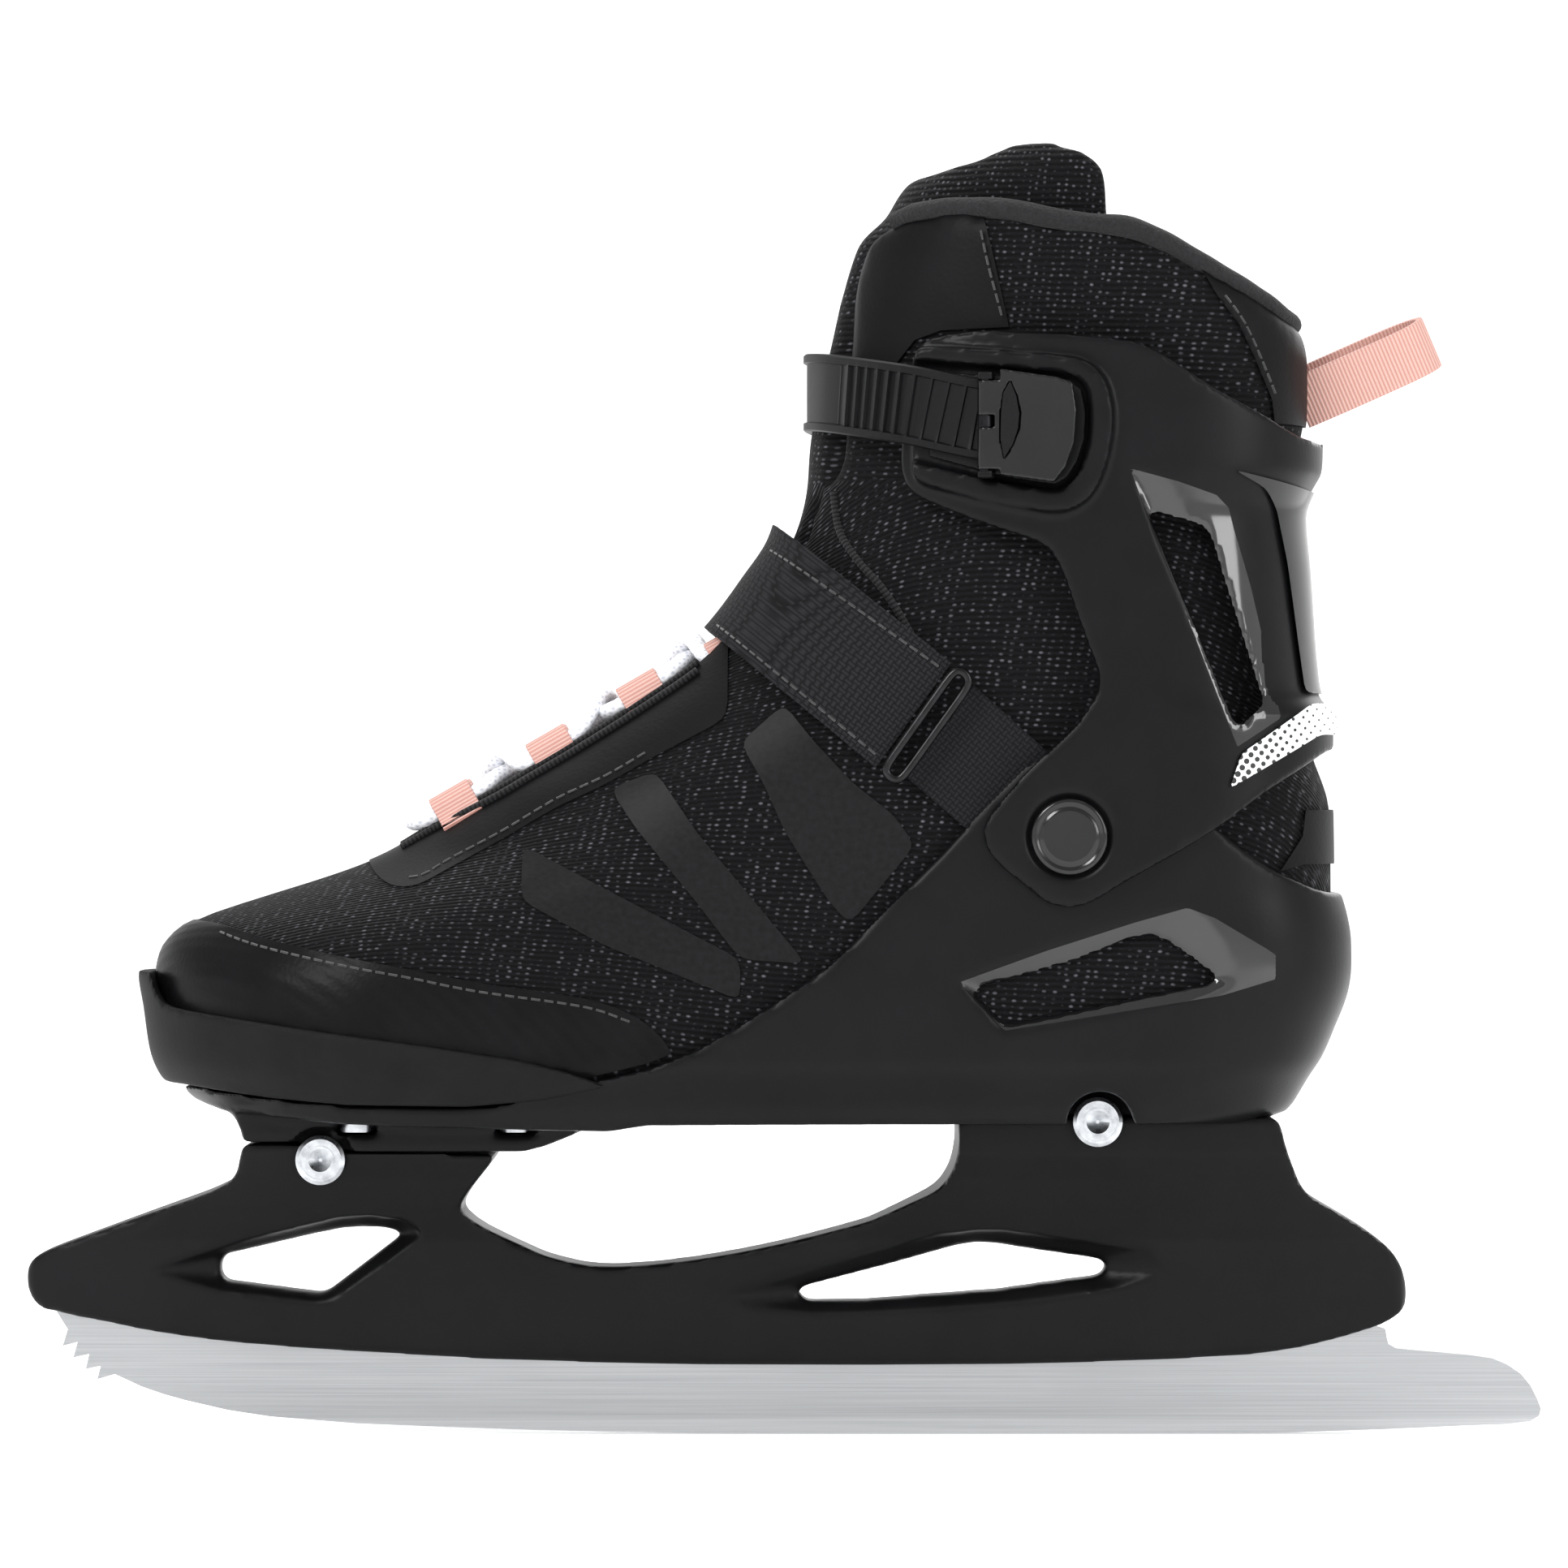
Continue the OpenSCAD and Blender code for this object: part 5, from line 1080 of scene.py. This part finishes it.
tape = ribbed("ribbed_elastic_tape", "#0d0d0e", "#262628", 1.1, 0.25)
throat_line = [(-89, 139), (-80, 143.1), (-70, 148.8), (-60, 154.4), (-50, 160.3), (-40, 166.3),
               (-30, 172.7), (-20, 178.5)]


def lip_path(reach):
    """The edge of the throat: reach is how far out from the middle it runs."""
    path = []
    for p in spline([(x, 0, z) for x, z in throat_line], 8):
        path.append((p.x, reach * (0.62 + 0.38 * ease((p.x + 88) / 25)), p.z))
    return path


tapes = []
for s in (-1, 1):
    for reach in (11.6, 15.0):
        path = []
        for p in lip_path(reach):
            # Height of the skin over this place in plan.
            lo, hi = p[2] - 25, p[2] + 6
            for _ in range(22):
                mid = (lo + hi) / 2
                if lookup(front_line, mid) < p[0] and skin_y(p[0], mid, 1.0) > p[1]:
                    lo = mid
                else:
                    hi = mid
            path.append((p[0], s * p[1], lo))
        tapes.append(swept(path, oval(3.8, 1.9), up=(-0.4, 0, 1)))
piece(merged(tapes), "throat_binding", "boot", tape, "synthetic_leather", sharp=80)

thread, tree, surface, at = finish("polyester_thread", Roughness=0.6, Sheen_Weight=0.4)
twist = add(tree, "TexNoise", {"Vector": at, "Scale": 1800.0}).outputs["Fac"]
tree.links.new(ramp(tree, twist, [(0.3, srgb("#0e0e0f")), (0.7, srgb("#27272a"))]),
               surface.inputs["Base Color"])
relief(tree, surface, twist, 0.1)


def stitches(path, pitch=3.0, length=2.1, d=0.55):
    """Short thread loops along a path, each a small rounded bar lying on the cloth."""
    parts, run, last = [], 0.0, Vector(path[0])
    for p in path[1:]:
        p = Vector(p)
        gap = (p - last).length
        while run + gap >= pitch and gap > 1e-6:
            part = (pitch - run) / gap
            at_point = last.lerp(p, part)
            bar = bmesh.new()
            bmesh.ops.create_cone(bar, cap_ends=True, segments=6, radius1=d / 2, radius2=d / 2,
                                  depth=length)
            turn = (p - last).to_track_quat("Z", "Y").to_matrix().to_4x4()
            bmesh.ops.transform(bar, matrix=Matrix.Translation(at_point) @ turn, verts=bar.verts)
            parts.append(bar)
            last, gap, run = at_point, (p - at_point).length, 0.0
        run, last = run + gap, p
    return parts


sewn = []
eye_edge = [(-88, 130.4), (-83, 131.3), (-77, 134.8), (-65, 141.2), (-52.5, 148.6),
            (-40.8, 154.1), (-31, 159.8)]
toe_edge = [(-131, 118.3), (-120, 114.9), (-100, 110.6), (-85, 107.9), (-70, 104.9),
            (-46, 101.4), (-36, 98.2)]
for s in (-1, 1):
    sewn += stitches(on_skin(eye_edge, 0.95, s)) + stitches(on_skin(toe_edge, 0.95, s))
piece(merged(sewn), "upper_stitching", "boot", thread, "synthetic_leather")
piping_line = [(11.4, 219.5), (12.8, 210.4), (17, 203.3), (21.9, 197.7), (26.2, 191.3),
               (29, 186.4)]
piping = [swept(on_skin(piping_line, 0.3, s), oval(1.7, 1.7, 10)) for s in (-1, 1)]
obj = piece(merged(piping), "quarter_piping", None, tape, "synthetic_leather", sharp=80)
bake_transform(obj)

# ---- Lace and its loops ------------------------------------------------------
# One hollow round braid of bright polyester, pressed flat where strands cross, threaded through
# four pairs of salmon grosgrain loops that are sewn under the eyestays.

braid, tree, surface, at = finish("braided_polyester_lace", Roughness=0.7, Sheen_Weight=0.2)
uv = add(tree, "UVMap").outputs["UV"]
weave = []
for angle in (0.75, -0.75):
    turn = add(tree, "Mapping", {"Vector": uv, "Rotation": (0, 0, angle)}).outputs[0]
    weave.append(add(tree, "TexWave", {"Vector": turn, "Scale": bands(1.5)}).outputs["Fac"])
plait = maths(tree, "MAXIMUM", *weave)
tree.links.new(ramp(tree, plait, [(0.1, srgb("#c9ccd6")), (0.8, srgb("#f6f7fb"))]),
               surface.inputs["Base Color"])
relief(tree, surface, plait, 0.12, 0.5)
edge_line = [(-90, 137.5), (-86.3, 139.8), (-80, 143.1), (-70, 148.8), (-60, 154.4), (-50, 160.3),
             (-40, 166.3), (-30, 172.7), (-10, 183), (0, 194), (6, 202)]


def strand(s, over):
    side = 8.6
    rows = [(-86.5, 0, 3.4), (-85, -6 * s, 2.6), (-81.5, -side * s, 2.2), (-72, -side * s, 2.2),
            (-66, 0, over), (-60, side * s, 2.4), (-48.5, side * s, 2.4), (-43, 0, over),
            (-38, -side * s, 2.8), (-28, -side * s, 3), (-22.6, 0, over + 1.6),
            (-17, side * s, 2.4), (-8, side * s, 1.6)]
    return [(x, y, lookup(edge_line, x) + rise) for x, y, rise in rows]


lace_path = spline(strand(1, 3.4)[::-1] + strand(-1, 8.2)[1:], 10)


def lace_section(run):
    """The braid swells and narrows a little along its length."""
    swell = 1 + 0.04 * math.sin(run * 2.1)
    return oval(4.5 * swell, 3.7 * swell, 14)


piece(swept(lace_path, lace_section), "lace_braid", "boot", braid, "lace_white", "lace", sharp=80)

grosgrain = ribbed("salmon_grosgrain_ribbon", "#bc897e", "#d3aca3", 0.9, 0.16, 0.7)
ribbon_section = [(-5, -0.4), (5, -0.4), (5.15, 0), (5, 0.4), (-5, 0.4), (-5.15, 0)]
ribbons = []
for x in (-76.5, -54, -33, -12.5):
    for s in (-1, 1):
        centre = Vector((x, s * 8.6, lookup(edge_line, x) + 2.4))
        along = Vector((math.cos(math.radians(30)), 0, math.sin(math.radians(30))))
        outward = Vector((0, s, 0))
        up = along.cross(outward) * (1 if s < 0 else -1)
        up = up if up.z > 0 else -up
        # The ribbon rises from under the stay, rolls over the lace and goes back under.
        wrap = [(6.8, -4.2), (4.6, -2.8), (3.4, -0.6), (2.9, 1.4), (1.6, 2.9), (-0.3, 3.4),
                (-2.2, 2.7), (-3.3, 1.0), (-3.2, -1.2), (-1.8, -2.9), (0.6, -3.4), (3.2, -3.9),
                (6.4, -5.2)]
        line = [centre + outward * u + up * v for u, v in wrap]
        line = spline(line, 3)
        ribbons.append(swept(line, ribbon_section,
                             up=lambda p, c=centre: p - c + Vector((0, 0, 1e-3))))
piece(merged(ribbons), "lace_ribbons", "boot", grosgrain, "loop_pink", "lace_loops", sharp=60)

# ---- Instep strap ------------------------------------------------------------
# Nylon webbing, 27 mm wide, that runs over the instep, through the wire ring and back on hook and
# loop. The ring hangs from a short webbing that is riveted inside the shell.


def webbing(name, colour, pale, slant, cell=1.2):
    """Basket-woven nylon: slant turns the weave to the strap, cell is a crossing in mm."""
    material, tree, surface, at = finish(name, Roughness=0.66, Sheen_Weight=0.02,
                                         Specular_IOR_Level=0.12)
    x, y, z = add(tree, "SeparateXYZ", {"Vector": at}).outputs
    slope = add(tree, "CombineXYZ", {"X": x, "Y": z}).outputs[0]
    slope = add(tree, "Mapping", {"Vector": slope, "Rotation": (0, 0, slant)}).outputs[0]
    u, v, _ = add(tree, "SeparateXYZ", {"Vector": slope}).outputs
    u = maths(tree, "SUBTRACT", u, maths(tree, "ABSOLUTE", y))
    flat = add(tree, "CombineXYZ", {"X": u, "Y": v}).outputs[0]
    check = add(tree, "TexChecker", {"Vector": flat, "Scale": 1000 / cell}).outputs["Fac"]
    over = add(tree, "TexWave", {"Vector": flat, "Scale": bands(cell)},
               bands_direction="X").outputs["Fac"]
    under = add(tree, "TexWave", {"Vector": flat, "Scale": bands(cell)},
                bands_direction="Y").outputs["Fac"]
    weave = add(tree, "Mix", {"Factor": check, 2: over, 3: under}).outputs[0]
    fuzz = add(tree, "TexNoise", {"Vector": at, "Scale": 900.0, "Detail": 3.0}).outputs["Fac"]
    tone = maths(tree, "MULTIPLY", weave, maths(tree, "ADD", fuzz, 0.35))
    tree.links.new(ramp(tree, tone, [(0.05, srgb(colour)), (0.8, srgb(pale))]),
                   surface.inputs["Base Color"])
    relief(tree, surface, weave, 0.14, 0.6)
    return material


nylon_web = webbing("nylon_webbing", "#060608", "#1f1f22", math.radians(39.5))
strap_outline = [(38.2, 179.6), (21, 155.6), (-30, 198), (-14, 222)]
web_in, web_out = 1.9, 5.1
strap = cut_skin(148, 219, web_in, web_out, strap_outline, (), 1.2)
bmesh.ops.smooth_vert(strap, verts=strap.verts, factor=0.3, use_axis_x=True, use_axis_y=True,
                      use_axis_z=True)
piece(strap, "instep_webbing", "boot", nylon_web, "webbing", "instep_strap")

edge_sewing = []
for s in (-1, 1):
    for u in (0.08, 0.92):
        a = Vector((38.2, 179.6)).lerp(Vector((21, 155.6)), u)
        b = Vector((-2, 208)).lerp(Vector((-17, 187.5)), u)
        edge_sewing += stitches(on_skin([tuple(a.lerp(b, k / 4)) for k in range(5)], 5.2, s))
piece(merged(edge_sewing), "strap_stitching", "boot", thread, "webbing")

flat_web = webbing("nylon_anchor_webbing", "#060608", "#1c1c1f", math.radians(42))
dress("ring_anchor", flat_web)

wire, tree, surface, at = finish("black_lacquered_wire", Metallic=0.6, Roughness=0.22)
flow = add(tree, "TexNoise", {"Vector": at, "Scale": 300.0, "Detail": 2.0}).outputs["Fac"]
tree.links.new(ramp(tree, flow, [(0.3, srgb("#101011")), (0.7, srgb("#1e1e20"))]),
               surface.inputs["Base Color"])
relief(tree, surface, flow, 0.03, 0.4)
ring_y = -ankle - web_out - 1.2
corner = [(39.3, 178.7), (42.9, 175.6), (26.1, 152.2), (22.4, 154.9)]
ring_path = [(x, ring_y, z) for x, z in eased(corner, 1.6, 3)]
ring = swept(ring_path, oval(2.1, 2.0, 12), closed=True, up=(0, -1, 0))
piece(ring, "instep_wire_ring", "boot", wire, "ring_wire", "instep_ring", sharp=80)

# ---- Pivot caps, spine trim and heel band ------------------------------------
# Snap-in caps and a spine trim in polished plastic, and a white rubber band printed with a
# generic fade of black dots.

dress("pivot_bushings", moulded("natural_acetal", "#cfcdc5", 0.35, 0.9, 0.01, "#dedcd5", 0.5))
caps = []
for s in (-1, 1):
    profile = [(0, 2.1), (5.6, 2.3), (6.3, 2.3), (6.7, 1.9), (7.1, 1.9), (7.5, 2.3), (8.2, 2.3),
               (8.8, 1.7), (8.8, 0), (0, 0)]
    cap = bmesh.new()
    rim = [cap.verts.new((r, 0, h)) for r, h in profile]
    for a, b in zip(rim, rim[1:]):
        cap.edges.new((a, b))
    bmesh.ops.spin(cap, geom=cap.verts[:] + cap.edges[:], axis=(0, 0, 1), cent=(0, 0, 0),
                   angle=math.tau, steps=72, use_merge=True)
    bmesh.ops.remove_doubles(cap, verts=cap.verts, dist=1e-3)
    bmesh.ops.rotate(cap, cent=(0, 0, 0), verts=cap.verts,
                     matrix=Matrix.Rotation(math.radians(-90 * s), 3, "X"))
    bmesh.ops.translate(cap, vec=(65, s * cap_floor, 140), verts=cap.verts)
    bmesh.ops.recalc_face_normals(cap, faces=cap.faces)
    caps.append(cap)
piece(merged(caps), "pivot_cap_pair", "cuff_body", polished, "gloss_trim", "pivot_caps", sharp=50)

spine = [(102.8, 223.6), (110.4, 219.6), (113.1, 215.1), (115.8, 202.5), (118.5, 183.7),
         (120.1, 173), (140, 173), (140, 219.6), (122, 219.6)]
trim = joined(prism(eased(spine, 1.0)), [arc_wall(170, 226, cuff_out - 0.2, cuff_out + 0.9,
                                                 cuff_back_line, 0.9, 90, 1.5)], "INTERSECT")
piece(trim, "spine_trim", "cuff_body", polished, "gloss_trim", "spine_insert")

dotted, tree, surface, at = finish("printed_white_rubber", Roughness=0.45)
dots = add(tree, "Mapping", {"Vector": at, "Rotation": (0, -0.61, 0), "Scale": (560, 0.01, 560)})
cells = add(tree, "TexVoronoi", {"Vector": dots.outputs[0], "Scale": 1.0, "Randomness": 0.0})
x, y, z = add(tree, "SeparateXYZ", {"Vector": at}).outputs
fade = add(tree, "MapRange", {"Value": x, "From Min": 0.101, "From Max": 0.124, "To Min": 0.42,
                              "To Max": 0.12}).outputs[0]
ink = maths(tree, "LESS_THAN", cells.outputs["Distance"], fade)
tree.links.new(add(tree, "Mix", {"Factor": ink, 6: srgb("#eceef0"), 7: srgb("#141415")},
                   data_type="RGBA").outputs[2], surface.inputs["Base Color"])
relief(tree, surface, ink, 0.03, 0.3)
band = [(101.6, 151), (104.4, 159), (121.6, 170.6), (140, 170.6), (140, 163.4), (123.5, 163.4)]
band = joined(prism(eased(band, 0.8)), [arc_wall(148, 172, cuff_out - 0.2, cuff_out + 0.9,
                                                cuff_back_line, 0.9, 90, 1.5)], "INTERSECT")
piece(band, "heel_dot_band", "cuff_body", dotted, "band_white", "heel_band")

# ---- Collar panels and binding -----------------------------------------------
# Synthetic leather panels sewn on the front and rear of the padded collar, and a fleece-faced
# binding rolled over its top edge from one side of the tongue to the other.

swollen.normal_update()
for vert in swollen.verts:
    vert.co += vert.normal * 0.8
mesh = bpy.data.meshes.new("swollen_collar")
swollen.to_mesh(mesh)
swollen.free()


def panel(name, outline, cuts=()):
    """A panel that follows the padded collar, 0.8 mm proud of it."""
    collar = bmesh.new()
    collar.from_mesh(mesh)
    bmesh.ops.delete(collar, geom=[v for v in collar.verts if v.co.z < 1], context="VERTS")
    made = joined(collar, [prism(outline)], "INTERSECT")
    made = joined(made, [boot_form(228, 292, -2.5)] + list(cuts))
    return piece(made, name, "cuff_body", soft_leather, "synthetic_leather")


front_panel = [(12, 246.5), (12, 279), (21, 280), (25.8, 281), (45.2, 284), (47.6, 274),
               (50.9, 258.8), (51.4, 256.5), (36, 256), (30, 254), (26, 249)]
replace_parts(panel("collar_front_leather", front_panel), "collar_front_panels")
rear_panel = [(95, 271), (99.4, 263.7), (104.4, 257.3), (108.3, 249.3), (112.3, 240.4),
              (113, 235), (130, 235), (130, 252), (119, 258), (109.3, 263.4), (99.4, 269)]
tab_slot = turned([(100, -7), (130, -7), (130, 7), (100, 7)], 230, 249)
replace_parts(panel("collar_rear_leather", rear_panel, [tab_slot]), "collar_rear_panel")

fleece, tree, surface, at = finish("fleece_binding", Roughness=0.95, Sheen_Weight=0.04,
                                   Sheen_Roughness=0.6)
pile = add(tree, "TexNoise", {"Vector": at, "Scale": 1300.0, "Detail": 3.0}).outputs["Fac"]
tree.links.new(ramp(tree, pile, [(0.35, srgb("#08080a")), (0.7, srgb("#18181b"))]),
               surface.inputs["Base Color"])
relief(tree, surface, pile, 0.5)
roll_path = []
for i in range(-90, 91):
    s = i / 90
    xb = 117.4
    x = xb - (xb - 26.6) * abs(s) ** 1.9
    z = lookup(collar_top, x) + 1.2
    roll_path.append((x, math.copysign(skin_y(x, z, -2.2), s), z))


def roll_section(run):
    swell = 1 + 0.03 * math.sin(run / 4.1) + 0.02 * math.sin(run / 1.7)
    return oval(6.6 * swell, 5.0 * swell, 20)


roll = swept(roll_path, roll_section)
roll = piece(roll, "collar_roll", "cuff_body", fleece, "binding_felt", "collar_binding", sharp=80)

seam = []
for s in (-1, 1):
    for line in ([(44.6, 280.5), (46.6, 271), (49.6, 259.5)], [(99.8, 265.3), (105.4, 258),
                                                               (109.4, 250), (112.9, 242)]):
        seam += stitches(on_skin(line, 1.9, s))
piece(merged(seam), "collar_stitching", "cuff_body", thread, "synthetic_leather")

# ---- Pull loop ---------------------------------------------------------------
# Salmon grosgrain webbing, 12.6 mm wide, folded in half and sewn under the rear panel.

turn = (Matrix.Translation((120.8, 0, 242)) @ Matrix.Rotation(math.radians(-24), 4, "Y")
        @ Matrix.Rotation(math.radians(10), 4, "X"))
pull = [(-1, -5.2), (6, -5.9), (14, -6.1), (21, -6.0), (26, -5.6), (30, -4.3), (32.2, -2.2),
        (32.9, 0), (32.2, 2.2), (30, 4.3), (26, 5.6), (21, 6.0), (14, 6.1), (6, 5.9), (-1, 5.2)]
pull_path = [turn @ Vector((p.x, p.y, 0)) for p in spline([(x, y, 0) for x, y in pull], 6)]
across = turn.to_3x3() @ Vector((0, 0, 1))
loop = swept(pull_path, [(-0.75, -6.1), (0.75, -6.1), (0.85, -5.4), (0.85, 5.4), (0.75, 6.1),
                         (-0.75, 6.1), (-0.85, 5.4), (-0.85, -5.4)], up=across)
piece(loop, "pull_loop_ribbon", "cuff_body", grosgrain, "loop_pink", "pull_loop", sharp=60)

# ---- Ladder strap ------------------------------------------------------------
# Moulded polyurethane strap with raised rails and a rack of teeth, 3.7 mm apart, that the pawl
# of the buckle catches. One end is screwed to the inner wing, the other feeds the buckle.

urethane = moulded("moulded_polyurethane", "#0b0b0c", 0.42, 0.9, 0.03)
# Middle of the strap in the wing: recess floor, buckle base, gap and half the strap.
strap_y = 0.6 - 1 - 0.3 - 1.2
strap_plan = [(5.7, 0), (6.6, 7), (10, 17.5), (16.5, 28.5), (24, 38.2)]


def strap_side(s):
    rows = [(x, s * y) for x, y in strap_plan]
    rows += [(x, s * (ankle + cuff_out - strap_y - (56 - x) * 0.105)) for x in (31, 44, 54, 64)]
    return [(x, y, 243.7 - 0.22 * (min(x, 45) - 4.5) - 0.1 * max(0, x - 45)) for x, y in rows]


ladder = spline(strap_side(1)[::-1] + strap_side(-1)[1:], 44)
total = sum((a - b).length for a, b in zip(ladder, ladder[1:]))


def ladder_section(run):
    """Rails 2 mm wide stand over a rack; each tooth ramps up and drops."""
    racked = ease((run - total + 62) / 2)
    tooth = (run % 3.7) / 3.7
    rack = 0.35 + racked * 0.75 * max(0.0, (tooth - 0.25) / 0.75)
    return [(-8.7, -1.2), (8.7, -1.2), (9, -0.9), (9, 0.7), (8.6, 1.15), (7.1, 1.15), (6.8, rack),
            (-6.8, rack), (-7.1, 1.15), (-8.6, 1.15), (-9, 0.7), (-9, -0.9)]


def outward_of(p):
    """Out from the boot at a place on the strap."""
    return Vector((-0.6, 0, 0)) + Vector((p.x - 60, p.y * 2.2, 0)).normalized()


rails = swept(ladder, ladder_section, up=outward_of)
piece(rails, "ladder_strap_moulding", "cuff_body", urethane, "ladder_plastic", "ladder_strap",
      sharp=32)

# ---- Buckle ------------------------------------------------------------------
# Glass-filled nylon base and lever with polished faces; the spring button in the lever's nose
# frees the pawl. Every edge is broken by about 0.3 mm.


def softened(name, voxel=0.3, rounds=3):
    """A merged copy of a CAD node in millimetres, with its edges broken."""
    made = bmesh.new()
    made.from_mesh(nodes[name].data)
    bmesh.ops.scale(made, vec=(1 / MM, 1 / MM, 1 / MM), verts=made.verts)
    bmesh.ops.remove_doubles(made, verts=made.verts, dist=1e-3)
    return remeshed(made, voxel, rounds)


piece(softened("buckle_base"), "buckle_base_moulding", "cuff_body", nylon, "gloss_trim",
      "buckle_base")
piece(softened("anchor_plate"), "anchor_plate_moulding", "cuff_body", nylon, "gloss_trim",
      "anchor_plate")
lever_black = moulded("satin_lever_nylon", "#060607", 0.2, 0.7, 0.01, "#101012", 0.4)
piece(softened("lever", 0.26), "buckle_lever_moulding", "lever_body", lever_black, "gloss_trim",
      "lever")
piece(softened("release_pad", 0.16), "release_button", "release_body",
      moulded("knurled_button", "#111112", 0.5, 0.5, 0.12), "gloss_trim", "release_pad")
